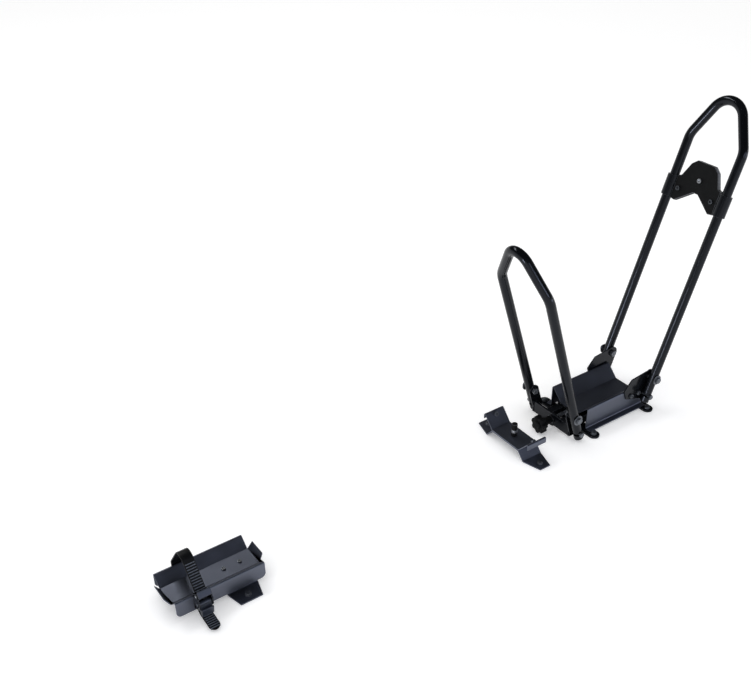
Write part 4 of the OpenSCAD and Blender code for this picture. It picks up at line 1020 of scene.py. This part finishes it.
@dataclass
class Hoop:
    """One tube hoop with lock slots in its legs.

    Attributes:
        name: Name of the hoop's body and node.
        body: Body that it is.
        pivot: X and Z of its pivots.
        lean: Forward lean in degrees.
        shoulder: Distance along the leg from the pivot to the shoulder.
        top: Distance to the top.
        top_r: Radius of the round top.
        lock: Distance down the leg to the lock bolt.
        span: Distance between the legs.
        tube_d: Diameter of the tube.
        shoulder_r: Radius of the shoulder bends.
        tail: Length of leg below the lock bolt.
        slot_r: Half width of the lock slot.
        bush_d: Diameter of the pivot bush.
    """

    name: str
    body: Body
    pivot: Flat
    lean: float
    shoulder: float
    top: float
    top_r: float
    lock: float
    span: float = 176.0
    tube_d: float = 25.4
    shoulder_r: float = 60.0
    tail: float = 17.0
    slot_r: float = 4.35
    bush_d: float = 15.0

    def line(self) -> list[Point]:
        """Trace the tube's middle from one leg end over the top to the other.

        Returns:
            Points in mm, in place.
        """
        half = self.span / 2
        rise = self.top - self.top_r - self.shoulder
        lean_in = math.radians(90) - math.atan2(rise, half) - math.asin(self.top_r / math.hypot(half, rise))
        peak = self.shoulder + half / math.tan(lean_in)
        low = -self.lock - self.tail
        corners = [(-half, low), (-half, self.shoulder), (0.0, peak), (half, self.shoulder), (half, low)]
        flat = rounded(corners, [0, self.shoulder_r, self.top_r, self.shoulder_r, 0], BEND_STEPS)
        place = leaning(self.pivot, self.lean)
        return [tuple(place @ Vector((0.0, p.x, p.y))) for p in flat]

    def cutter(self) -> bpy.types.Object:
        """Make the shapes that the lock slots and the pivot holes take away.

        Returns:
            A scratch object.
        """
        shape = bmesh.new()
        depth = self.span / 2 + self.tube_d
        past_wall = 0.7 * self.tube_d
        sweep = math.asin(past_wall / self.lock)
        turns = [sweep * k / SLOT_STEPS for k in range(SLOT_STEPS + 1)]
        rim: list[Flat] = []
        for radius, way in ((self.lock + self.slot_r, 1), (self.lock - self.slot_r, -1)):
            rim += [(-radius * math.sin(q), -radius * math.cos(q)) for q in turns][::way]
        half_turn = [math.pi * k / END_STEPS for k in range(1, END_STEPS)]
        rim += [(self.slot_r * math.sin(q), -self.lock + self.slot_r * math.cos(q)) for q in half_turn]
        bush = self.bush_d / 2
        round_turn = [math.tau * k / HOLE_STEPS for k in range(HOLE_STEPS)]
        hole = [(bush * math.cos(q), bush * math.sin(q)) for q in round_turn]
        for ring in (rim, hole):
            base = [shape.verts.new((x, -depth, z)) for x, z in ring]
            face = shape.faces.new(base)
            grown = bmesh.ops.extrude_face_region(shape, geom=[face])
            moved = [v for v in grown["geom"] if isinstance(v, bmesh.types.BMVert)]
            bmesh.ops.translate(shape, verts=moved, vec=(0.0, 2 * depth, 0.0))
        bmesh.ops.recalc_face_normals(shape, faces=shape.faces[:])
        place = Matrix.Scale(MM, 4) @ leaning(self.pivot, self.lean)
        bmesh.ops.transform(shape, matrix=place, verts=shape.verts[:])
        mesh = bpy.data.meshes.new("cutter")
        shape.to_mesh(mesh)
        shape.free()
        return new_object(f"{self.name}_cutter", mesh)

    def build(self, bench: Bench) -> None:
        """Sweep the tube, cut its slots and dress bushes and plugs.

        Args:
            bench: Shared tools.
        """
        tube = chains_object(f"{self.name}_tube", [self.line()])
        cutter = self.cutter()
        bench.tube.run(tube, GLOSS_COAT, {"Tube Radius": self.tube_d / 2 * MM, "Cutter": cutter})
        bpy.data.objects.remove(cutter)
        bench.hand_over(tube, self.body, GLOSS_COAT, self.name)
        bench.ease(f"{self.name}_bushes", self.body, TURNED_STEEL, TURNED_STEEL, 0.3)
        bench.ease(f"{self.name}_plugs", self.body, MOULDED_NYLON, NYLON_EDGE_HIGHLIGHT, 0.6)


@dataclass
class LegBolts:
    """Bolts across the legs of one hoop: pivots with discs and lock bolts with nuts.

    Attributes:
        end: Name of the hoop's end, front or rear.
        body: Body that carries them.
        pivot: X and Z of the pivots.
        lock: X and Z of the lock bolts.
        plate_y: Distance of the carrying plate's inner face from the middle.
        head_y: Distance of the leg's outer bush face from the middle.
        pivot_d: Thread of the pivots.
        lock_d: Thread of the lock bolts.
        gap: Gap between the bush and the disc.
        disc_d: Diameter of the discs.
        disc_t: Thickness of the discs.
    """

    end: str
    body: Body
    pivot: Flat
    lock: Flat
    plate_y: float = 70.0
    head_y: float = 101.3
    pivot_d: float = 10.0
    lock_d: float = 8.0
    gap: float = 0.3
    disc_d: float = 28.0
    disc_t: float = 1.6

    def build(self, bench: Bench) -> None:
        """Make the bolts, discs and nuts on both sides.

        Args:
            bench: Shared tools.
        """
        pivot_in = self.plate_y - NUT_HEIGHT * self.pivot_d
        lock_in = self.plate_y - NUT_HEIGHT * self.lock_d
        face = self.head_y + self.gap
        pivots = both_sides([Spot((self.pivot[0], -pivot_in, self.pivot[1]), OUT_RIGHT)])
        locks = both_sides([Spot((self.lock[0], -lock_in, self.lock[1]), OUT_RIGHT)])
        discs = both_sides([Spot((self.pivot[0], -face, self.pivot[1]), OUT_RIGHT)])
        disc_nodes = ["front_pivot_discs"] if self.end == "front" else []
        bench.bolt_set(f"{self.end}_pivot_screws", self.body, DARK_PLATE, pivots, self.pivot_d,
                       face + self.disc_t - pivot_in, Head.HEXAGON, [f"{self.end}_pivot_bolts"])
        bench.copies(f"{self.end}_pivot_washers", self.body, DARK_PLATE, bench.rings, discs,
                     {"Outer Radius": self.disc_d / 2, "Inner Radius": self.pivot_d / 2 + WASHER_GAP,
                      "Height": self.disc_t}, disc_nodes)
        bench.bolt_set(f"{self.end}_lock_screws", self.body, DARK_PLATE, locks, self.lock_d, face - lock_in,
                       Head.HEXAGON, [f"{self.end}_lock_bolts"])
        for node in ("pivot_nuts", "lock_nuts"):
            bench.ease(f"{self.end}_{node}", self.body, DARK_PLATE, ZINC_PLATE, 0.4)


@dataclass
class FrontClamp:
    """Fixed unit under the front wheel: cradle, feet, guides and leg brackets.

    Attributes:
        foot_pitch: Distance between the foot bars.
        foot_span: Distance across between the foot bolts.
        foot_t: Thickness of a foot bar.
        washer_t: Thickness of a washer.
        bolt_d: Thread of the foot bolts.
        reach: Reach of the foot bolts below the feet.
        side_y: Half width of the cradle over its skirts.
        flange_w: Width of the flanges along its lower edges.
        bracket_t: Thickness of a leg bracket.
        sheet_t: Thickness of the cradle's sheet.
        bracket_bolts: X and Z of the bracket bolts.
        half_len: Half length of the cradle.
        bar_half: Half width of a foot bar.
        weld_inset: Distance of the welds' ends from the cradle's ends.
        weld_r: Radius of a weld bead.
        weld_lift: Height of the weld's line above the foot bar.
    """

    foot_pitch: float = 206.0
    foot_span: float = 195.0
    foot_t: float = 5.0
    washer_t: float = 1.6
    bolt_d: float = 8.0
    reach: float = 20.0
    side_y: float = 70.0
    flange_w: float = 16.0
    bracket_t: float = 4.0
    sheet_t: float = 2.5
    bracket_bolts: tuple[Flat, Flat] = ((56.0, 51.0), (84.0, 51.0))
    half_len: float = 106.5
    bar_half: float = 13.0
    weld_inset: float = 1.5
    weld_r: float = 1.7
    weld_lift: float = 0.5

    def build(self, bench: Bench) -> None:
        """Dress the sheet metal, then fit bolts and welds.

        Args:
            bench: Shared tools.
        """
        bench.ease("front_cradle", Body.BASE, SHEET_COAT, SHEET_EDGE_WEAR_AND_HIGHLIGHT, 0.5)
        for node in ("rear_foot_bar", "front_foot_bar", "guide_sleeve_right", "guide_sleeve_left",
                     "screw_block", "leg_bracket_right", "leg_bracket_left"):
            bench.ease(node, Body.BASE, GLOSS_COAT, GLOSS_EDGE_WEAR_AND_HIGHLIGHT, 0.5)
        bench.ease("drive_nut", Body.BASE, TURNED_STEEL, TURNED_STEEL, 0.3)
        self.bolt_down(bench)
        self.weld_feet(bench)

    def bolt_down(self, bench: Bench) -> None:
        """Fit foot bolts, washers and bracket bolts.

        Args:
            bench: Shared tools.
        """
        feet = [(x * self.foot_pitch / 2, y * self.foot_span / 2) for x in (-1, 1) for y in (-1, 1)]
        bench.foot_bolts("foot", feet, self.foot_t, self.bolt_d, self.reach, self.washer_t, WASHER_GAP,
                         ["foot_washers"])
        grip = NUT_HEIGHT * self.bolt_d + self.sheet_t + self.bracket_t
        start = self.side_y + self.bracket_t - grip
        spots = both_sides([Spot((x, -start, z), OUT_RIGHT) for x, z in self.bracket_bolts])
        bench.bolt_set("bracket_screws", Body.BASE, DARK_PLATE, spots, self.bolt_d, grip, Head.SOCKET,
                       ["bracket_bolts"])
        bench.ease("bracket_nuts", Body.BASE, DARK_PLATE, ZINC_PLATE, 0.4)

    def weld_feet(self, bench: Bench) -> None:
        """Weld the edges of the flanges to the foot bars.

        Args:
            bench: Shared tools.
        """
        chains: list[list[Point]] = []
        for x in (-self.foot_pitch / 2, self.foot_pitch / 2):
            low = max(x - self.bar_half, -self.half_len + self.weld_inset)
            high = min(x + self.bar_half, self.half_len - self.weld_inset)
            for y in (-self.side_y - self.flange_w, self.side_y + self.flange_w):
                chains.append([(end, y, self.foot_t + self.weld_lift) for end in (low, high)])
        bench.weld("foot_welds", Body.BASE, chains, self.weld_r)


@dataclass
class WheelStop:
    """Stop plate with sleeves that slide on the front hoop's legs.

    Attributes:
        pivot: X and Z of the front hoop's pivot.
        lean: Lean of the front hoop in degrees.
        at: Distance along the legs from the pivot.
        plate_t: Thickness of the plate.
        bolt_d: Thread of the bolts.
        bolts: Y and distance along the leg of each bolt.
    """

    pivot: Flat = (121.7, 93.0)
    lean: float = 20.0
    at: float = 497.0
    plate_t: float = 14.0
    bolt_d: float = 8.0
    bolts: tuple[Flat, Flat, Flat] = ((0.0, 38.0), (-56.0, 0.0), (56.0, 0.0))

    def build(self, bench: Bench) -> None:
        """Dress the plate and its sleeves and fit the bolts.

        Args:
            bench: Shared tools.
        """
        # The plate's wide eased edges and its sides along Y take paler nylon as painted highlight.
        bench.ease("stop_plate", Body.WHEEL_STOP, MOULDED_NYLON, NYLON_EDGE_HIGHLIGHT, 1.6, NYLON_SIDE_HIGHLIGHT)
        for side in ("right", "left"):
            bench.ease(f"stop_sleeve_{side}", Body.WHEEL_STOP, GLOSS_COAT, GLOSS_EDGE_WEAR_AND_HIGHLIGHT, 0.6)
        bench.ease("stop_liners", Body.WHEEL_STOP, MOULDED_NYLON, NYLON_EDGE_HIGHLIGHT, 0.3)
        place = leaning(self.pivot, self.lean)
        aim = tuple(place.to_3x3() @ Vector((-1.0, 0.0, 0.0)))
        grip = self.plate_t + NUT_HEIGHT * self.bolt_d
        spots = [Spot(tuple(place @ Vector((grip - self.plate_t / 2, y, self.at + z))), aim, (0.0, 1.0, 0.0))
                 for y, z in self.bolts]
        for name, finish, chosen, nodes in (
            ("stop_centre_screw", ZINC_PLATE, spots[:1], ["stop_bolts"]),
            ("stop_side_screws", DULL_ZINC, spots[1:], []),
        ):
            bench.bolt_set(name, Body.WHEEL_STOP, finish, chosen, self.bolt_d, grip, Head.SOCKET, nodes)
        bench.ease("stop_nuts", Body.WHEEL_STOP, ZINC_PLATE, ZINC_PLATE, 0.4)


@dataclass
class Carriage:
    """Sliding unit that carries the rear hoop.

    Attributes:
        back: X of the crossbar's rear face.
        front: X of the crossbar's front face.
        low: Height of the crossbar's lower edge.
        high: Height of its upper edge.
        side_y: Half width of the crossbar.
        rail_y: Distance of the guide rails from the middle.
        rail_w: Width of a guide rail.
        rail_top: Height of the guide rails' upper faces.
        weld_r: Radius of a weld bead.
        weld_off: Distance of the welds' lines from the crossbar's faces.
        weld_inset: Distance of the welds' ends from its edges.
        end_inset: Distance of the upright welds from its ends.
    """

    back: float = -172.0
    front: float = -165.0
    low: float = 12.0
    high: float = 46.0
    side_y: float = 70.0
    rail_y: float = 30.0
    rail_w: float = 22.0
    rail_top: float = 29.35
    weld_r: float = 1.9
    weld_off: float = 0.4
    weld_inset: float = 2.0
    end_inset: float = 0.5

    def build(self, bench: Bench) -> None:
        """Dress the crossbar, lugs and rails and weld them together.

        Args:
            bench: Shared tools.
        """
        for node in ("crossbar", "lug_right", "lug_left", "guide_rail_right", "guide_rail_left"):
            bench.ease(node, Body.CARRIAGE, GLOSS_COAT, GLOSS_EDGE_WEAR_AND_HIGHLIGHT, 0.6)
        bench.ease("screw_bush", Body.CARRIAGE, TURNED_STEEL, TURNED_STEEL, 0.3)
        chains: list[list[Point]] = []
        seam, foot = self.front + self.weld_off, self.low + self.weld_inset
        for y in (-self.side_y + self.end_inset, self.side_y - self.end_inset):
            for x in (self.back - self.weld_off, seam):
                chains.append([(x, y, foot), (x, y, self.high - self.weld_inset)])
        for y in (-self.rail_y, self.rail_y):
            left, right = y - self.rail_w / 2, y + self.rail_w / 2
            chains.append([(seam, left, foot), (seam, left, self.rail_top), (seam, right, self.rail_top),
                           (seam, right, foot)])
        bench.weld("carriage_welds", Body.CARRIAGE, chains, self.weld_r)


@dataclass
class KnobScrew:
    """Lobed knob on the clamp screw.

    Attributes:
        axis_z: Height of the screw's axis.
        knob_x: X of the knob's front face.
        tip_x: X of the screw's front end.
        knob_d: Diameter over the lobes.
        knob_t: Thickness of the rim.
        lobes: Number of lobes.
        hollow_r: Radius of the hollows between the lobes.
        hollow_depth: Depth of the hollows.
        cap_d: Diameter of the rear cap.
        cap_t: Height of the rear cap.
        seat: Depth of the screw in the knob.
        screw_d: Diameter of the screw.
        cut: Length of cut thread.
        round_r: Radius of the moulded edges.
        soft: Softening of the lobes' corners.
        pitch: Rise of one turn of the thread.
        cap_r: Radius of the cap's edge.
        groove: Distance out from the cap and depth of each corner of the groove around it.
        dish: Share of the cap's radius and height of each corner of its dished face.
    """

    axis_z: float = 26.5
    knob_x: float = -203.3
    tip_x: float = -43.0
    knob_d: float = 50.0
    knob_t: float = 18.0
    lobes: int = 7
    hollow_r: float = 8.0
    hollow_depth: float = 4.0
    cap_d: float = 26.0
    cap_t: float = 4.0
    seat: float = 12.0
    screw_d: float = 10.0
    cut: float = 112.0
    round_r: float = 2.6
    soft: float = 1.4
    pitch: float = 3.0
    cap_r: float = 1.5
    groove: tuple[Flat, ...] = ((1.6, 0.0), (1.2, 0.8), (0.2, 0.8), (0.0, 0.0))
    dish: tuple[Flat, ...] = ((0.6, 0.05), (0.55, -0.5))

    def rim(self, turn: float) -> float:
        """Give the knob's radius at an angle, with softened lobe corners.

        Args:
            turn: Angle from the first hollow in radians.

        Returns:
            Radius in mm.
        """
        pitch = math.tau / self.lobes
        off = (turn + pitch / 2) % pitch - pitch / 2
        centre = self.knob_d / 2 + self.hollow_r - self.hollow_depth
        inside = self.hollow_r**2 - (centre * math.sin(off)) ** 2
        full = self.knob_d / 2
        if inside <= 0:
            return full
        hollow = centre * math.cos(off) - math.sqrt(inside)
        blend = max(0.0, min(1.0, 0.5 + 0.5 * (full - hollow) / self.soft))
        return hollow * blend + full * (1 - blend) - self.soft * blend * (1 - blend)

    def knob_mesh(self) -> bmesh.types.BMesh:
        """Loft the knob from its front face to its cap.

        Returns:
            Closed mesh in metres, in place.
        """
        around = self.lobes * LOBE_STEPS
        quarter = [math.pi / 2 * k / EDGE_STEPS for k in range(EDGE_STEPS + 1)]
        r, cap, rear = self.round_r, self.cap_d / 2, self.knob_t + self.cap_t
        sections = [(r * (1 - math.sin(q)), r * (1 - math.cos(q))) for q in quarter]
        sections += [(r * (1 - math.cos(q)), self.knob_t - r * (1 - math.sin(q))) for q in quarter]
        plain = [(cap + out, self.knob_t - deep) for out, deep in self.groove]
        edge = self.cap_r
        plain += [(cap - edge * (1 - math.cos(q)), rear - edge * (1 - math.sin(q))) for q in quarter]
        plain += [(cap * share, rear + high) for share, high in self.dish]
        turns = [math.tau * k / around for k in range(around)]
        shape = bmesh.new()
        rings = [[self.spot(shape, self.rim(q) - inset, q, z) for q in turns] for inset, z in sections]
        rings += [[self.spot(shape, radius, q, z) for q in turns] for radius, z in plain]
        skin(shape, rings)
        return shape

    def spot(self, shape: bmesh.types.BMesh, radius: float, turn: float, height: float) -> bmesh.types.BMVert:
        """Add a point at a radius, angle and height along the knob's axis."""
        up, across = radius * math.cos(turn), radius * math.sin(turn)
        return shape.verts.new(Vector((self.knob_x - height, across, self.axis_z + up)) * MM)

    def build(self, bench: Bench) -> None:
        """Make the knob and the threaded screw and dress hub and collar.

        Args:
            bench: Shared tools.
        """
        knob = from_bmesh("lobed_knob", self.knob_mesh(), (MOULDED_NYLON,), MOULDED_SHARP_DEG)
        bench.hand_over(knob, Body.KNOB, MOULDED_NYLON, "clamp_knob")
        bench.ease("knob_hub", Body.KNOB, MOULDED_NYLON, NYLON_EDGE_HIGHLIGHT, 0.8)
        bench.ease("retaining_collar", Body.KNOB, TURNED_STEEL, TURNED_STEEL, 0.5)
        spots = [Spot((self.tip_x, 0.0, self.axis_z), (-1.0, 0.0, 0.0), (0.0, 1.0, 0.0))]
        bench.copies("threaded_screw", Body.KNOB, DARK_PLATE, bench.bolts, spots, {
            "Thread": self.screw_d, "Grip": self.tip_x - self.knob_x + self.seat,
            "Head Radius": self.screw_d / 2, "Head Height": 0.5, "Socket Radius": 1.0, "Socket Head": False,
            "Thread Length": self.cut, "Pitch": self.pitch}, ["clamp_screw"])


@dataclass
class Brackets:
    """Saddle and rear tray with the folded brackets and bolts that hold them down.

    Attributes:
        feet: X and half span of each pair of foot bolts.
        hat_t: Thickness of the folded brackets.
        bolt_d: Thread of the foot bolts.
        reach: Reach of the foot bolts below the feet.
        washer_t: Thickness of the washers.
    """

    feet: tuple[Flat, Flat] = ((-303.0, 105.0), (-1135.0, 72.0))
    hat_t: float = 3.0
    bolt_d: float = 8.0
    reach: float = 20.0
    washer_t: float = 1.6

    def build(self, bench: Bench) -> None:
        """Dress sheet metal, studs and small fasteners.

        Args:
            bench: Shared tools.
        """
        for node in ("saddle_bracket", "saddle", "rear_tray", "tray_bracket"):
            bench.ease(node, Body.BASE, SHEET_COAT, SHEET_EDGE_WEAR_AND_HIGHLIGHT, 0.5)
        for node in ("stud_spacer", "stud_cap"):
            bench.ease(node, Body.BASE, MOULDED_NYLON, NYLON_EDGE_HIGHLIGHT, 0.9)
        bench.ease("saddle_stud", Body.BASE, TURNED_STEEL, TURNED_STEEL, 0.5)
        bench.ease("saddle_nuts", Body.BASE, ZINC_PLATE, ZINC_PLATE, 0.5)
        bench.ease("ear_bolts", Body.BASE, DARK_PLATE, DARK_PLATE, 0.5)
        bench.ease("tray_bolts", Body.BASE, DARK_PLATE, ZINC_PLATE, 0.4)
        places = [(x, side * y) for x, y in self.feet for side in (-1, 1)]
        bench.foot_bolts("bracket_foot", places, self.hat_t, self.bolt_d, self.reach, self.washer_t, 0.0)


@dataclass
class StrapBuckle:
    """Ladder strap over the rear rim with its ratchet buckle.

    Attributes:
        x: Place of the strap along the rack.
        corners: Sharp corners of the strap's middle line in Y and Z.
        radii: Radius at each corner.
        width: Width of the strap.
        thick: Thickness of its band.
        ridge_pitch: Pitch of the ridges.
        ridge_w: Width of a ridge.
        ridge_h: Height of a ridge.
        ridge_from: Distance along the strap to the first ridge.
        ridge_margin: Bare band beside the ridges.
        side_y: Half width of the tray.
        rivets: Heights of the left and the right rivet.
        buckle_w: Width of the buckle.
        pins: Y and Z of the buckle's pins.
        sheet_t: Thickness of the tray's sheet.
        rivet_head: Radius and height of a rivet's head.
        pin_head: Radius and height of a pin's head.
        bare_end: Length without ridges at the tail's end.
        soft: Radius of the band's edges.
        tip_half: Half width of the tail's blunt tip.
    """

    x: float = -1238.0
    corners: tuple[Flat, ...] = (
        (58.5, 24.0), (58.5, 66.0), (0.0, 145.0), (-64.0, 66.0), (-64.0, 14.0), (-126.0, 7.0))
    radii: tuple[float, ...] = (0, 14, 22, 14, 14, 0)
    width: float = 26.0
    thick: float = 3.0
    ridge_pitch: float = 6.0
    ridge_w: float = 2.25
    ridge_h: float = 1.2
    ridge_from: float = 160.0
    ridge_margin: float = 2.0
    side_y: float = 57.0
    rivets: Flat = (29.0, 26.0)
    buckle_w: float = 34.0
    pins: tuple[Flat, Flat] = ((-77.0, 47.0), (-74.5, 69.0))
    sheet_t: float = 2.5
    rivet_head: Flat = (5.0, 1.2)
    pin_head: Flat = (3.0, 1.1)
    bare_end: float = 4.0
    soft: float = 0.9
    tip_half: float = 0.8

    def line(self) -> list[Vector]:
        """Trace the strap's middle line with extra points at its tail.

        Returns:
            Points in Y and Z, in mm.
        """
        base = rounded(self.corners, self.radii, STRAP_STEPS)
        end, before = base[-1], base[-2]
        way = (end - before).normalized()
        half = self.width / 2
        quarter = [math.pi / 2 * k / TAIL_STEPS for k in range(TAIL_STEPS + 1)]
        tail = [end - way * half * (1 - math.sin(q)) for q in quarter]
        return base[:-1] + tail

    def band(self) -> bmesh.types.BMesh:
        """Sweep the band along its line, with soft corners and a round tail.

        Returns:
            Closed mesh in metres, in place.
        """
        line = self.line()
        half, soft = self.width / 2, self.soft
        shape = bmesh.new()
        rings: list[list[bmesh.types.BMVert]] = []
        for i, here in enumerate(line):
            a = line[max(i - 1, 0)]
            b = line[min(i + 1, len(line) - 1)]
            way = (b - a).normalized()
            out = Vector((-way.y, way.x))
            left = (line[-1] - here).length
            wide = half if left >= half else math.sqrt(max(half**2 - (half - left) ** 2, self.tip_half**2))
            corner = min(soft, wide / 2)
            outline: list[Flat] = []
            for sx, sy, first in ((1, 1, 0), (-1, 1, 1), (-1, -1, 2), (1, -1, 3)):
                for k in range(4):
                    q = math.pi / 2 * (first + k / 3)
                    outline.append((sx * (wide - corner) + corner * math.cos(q),
                                    sy * (self.thick / 2 - soft) + soft * math.sin(q)))
            rings.append([shape.verts.new(Vector((self.x + u, here.x + out.x * v, here.y + out.y * v)) * MM)
                          for u, v in outline])
        skin(shape, rings)
        return shape

    def ridge_spots(self) -> list[Spot]:
        """Place a ridge on both faces of the band at every pitch.

        Returns:
            Spots whose aim stands off the band.
        """
        line = self.line()
        spots: list[Spot] = []
        walked, mark = 0.0, self.ridge_from
        total = sum((b - a).length for a, b in zip(line, line[1:]))
        for a, b in zip(line, line[1:]):
            step = (b - a).length
            while step > 0 and walked + step >= mark and mark < total - self.bare_end:
                here = a + (b - a) * ((mark - walked) / step)
                way = (b - a).normalized()
                for side in (-1, 1):
                    out = Vector((-way.y, way.x)) * side
                    at = here + out * self.thick / 2
                    spots.append(Spot((self.x, at.x, at.y), (0.0, out.x, out.y)))
                mark += self.ridge_pitch
            walked += step
        return spots

    def build(self, bench: Bench) -> None:
        """Make strap, ridges and rivets and dress the buckle.

        Args:
            bench: Shared tools.
        """
        band = from_bmesh("ladder_strap", self.band(), (STRAP_PLASTIC,), MOULDED_SHARP_DEG)
        bench.hand_over(band, Body.BASE, STRAP_PLASTIC, "strap")
        # The ridges take a paler finish, a painted highlight on their crests.
        bench.copies("strap_ridges", Body.BASE, STRAP_CREST_HIGHLIGHT, bench.bars, self.ridge_spots(),
                     {"Width": self.ridge_w, "Height": self.ridge_h,
                      "Length": self.width - 2 * self.ridge_margin})
        heads = [Spot((self.x, self.side_y + self.thick, self.rivets[0]), (0.0, 1.0, 0.0)),
                 Spot((self.x, self.side_y - self.sheet_t, self.rivets[0]), (0.0, -1.0, 0.0)),
                 Spot((self.x, -self.side_y - self.sheet_t, self.rivets[1]), (0.0, -1.0, 0.0)),
                 Spot((self.x, -self.side_y + self.sheet_t, self.rivets[1]), (0.0, 1.0, 0.0))]
        bench.copies("strap_rivet_heads", Body.BASE, ZINC_PLATE, bench.domes, heads,
                     dict(zip(("Radius", "Height"), self.rivet_head)), ["strap_rivets"])
        kinds = (("lever_pin_heads", DARK_PLATE), ("pawl_pin_heads", ZINC_PLATE))
        for (name, finish), (y, z) in zip(kinds, self.pins):
            ends = [Spot((self.x + side * self.buckle_w / 2, y, z), (float(side), 0.0, 0.0), (0.0, 1.0, 0.0))
                    for side in (-1, 1)]
            bench.copies(name, Body.BASE, finish, bench.domes, ends,
                         dict(zip(("Radius", "Height"), self.pin_head)))
        bench.ease("buckle_frame", Body.BASE, GLOSS_COAT, GLOSS_EDGE_WEAR_AND_HIGHLIGHT, 0.5)
        bench.ease("buckle_lever", Body.LEVER, SATIN_NYLON, NYLON_EDGE_HIGHLIGHT, 0.7)
        bench.ease("buckle_pawl", Body.PAWL, SATIN_NYLON, NYLON_EDGE_HIGHLIGHT, 0.7)


def main() -> None:
    """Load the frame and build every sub-assembly."""
    logging.basicConfig(level=logging.INFO, format="%(message)s")
    bpy.ops.wm.read_factory_settings(use_empty=True)
    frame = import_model()
    studio = Studio()
    studio.set_camera()
    studio.lay_floor()
    studio.light()
    bench = Bench(frame["nodes"])
    for assembly in (
        FrontClamp(),
        LegBolts("front", Body.BASE, (121.7, 93.0), (103.573, 43.196)),
        Hoop("front_hoop", Body.FRONT_HOOP, (121.7, 93.0), 20.0, 639.0, 749.0, 52.0, 53.0),
        WheelStop(),
        Carriage(),
        LegBolts("rear", Body.CARRIAGE, (-173.8, 82.0), (-156.375, 27.729)),
        KnobScrew(),
        Hoop("rear_hoop", Body.REAR_HOOP, (-173.8, 82.0), -17.8, 411.0, 520.0, 39.0, 57.0),
        Brackets(),
        StrapBuckle(),
    ):
        assembly.build(bench)


if __name__ == "__main__":
    main()
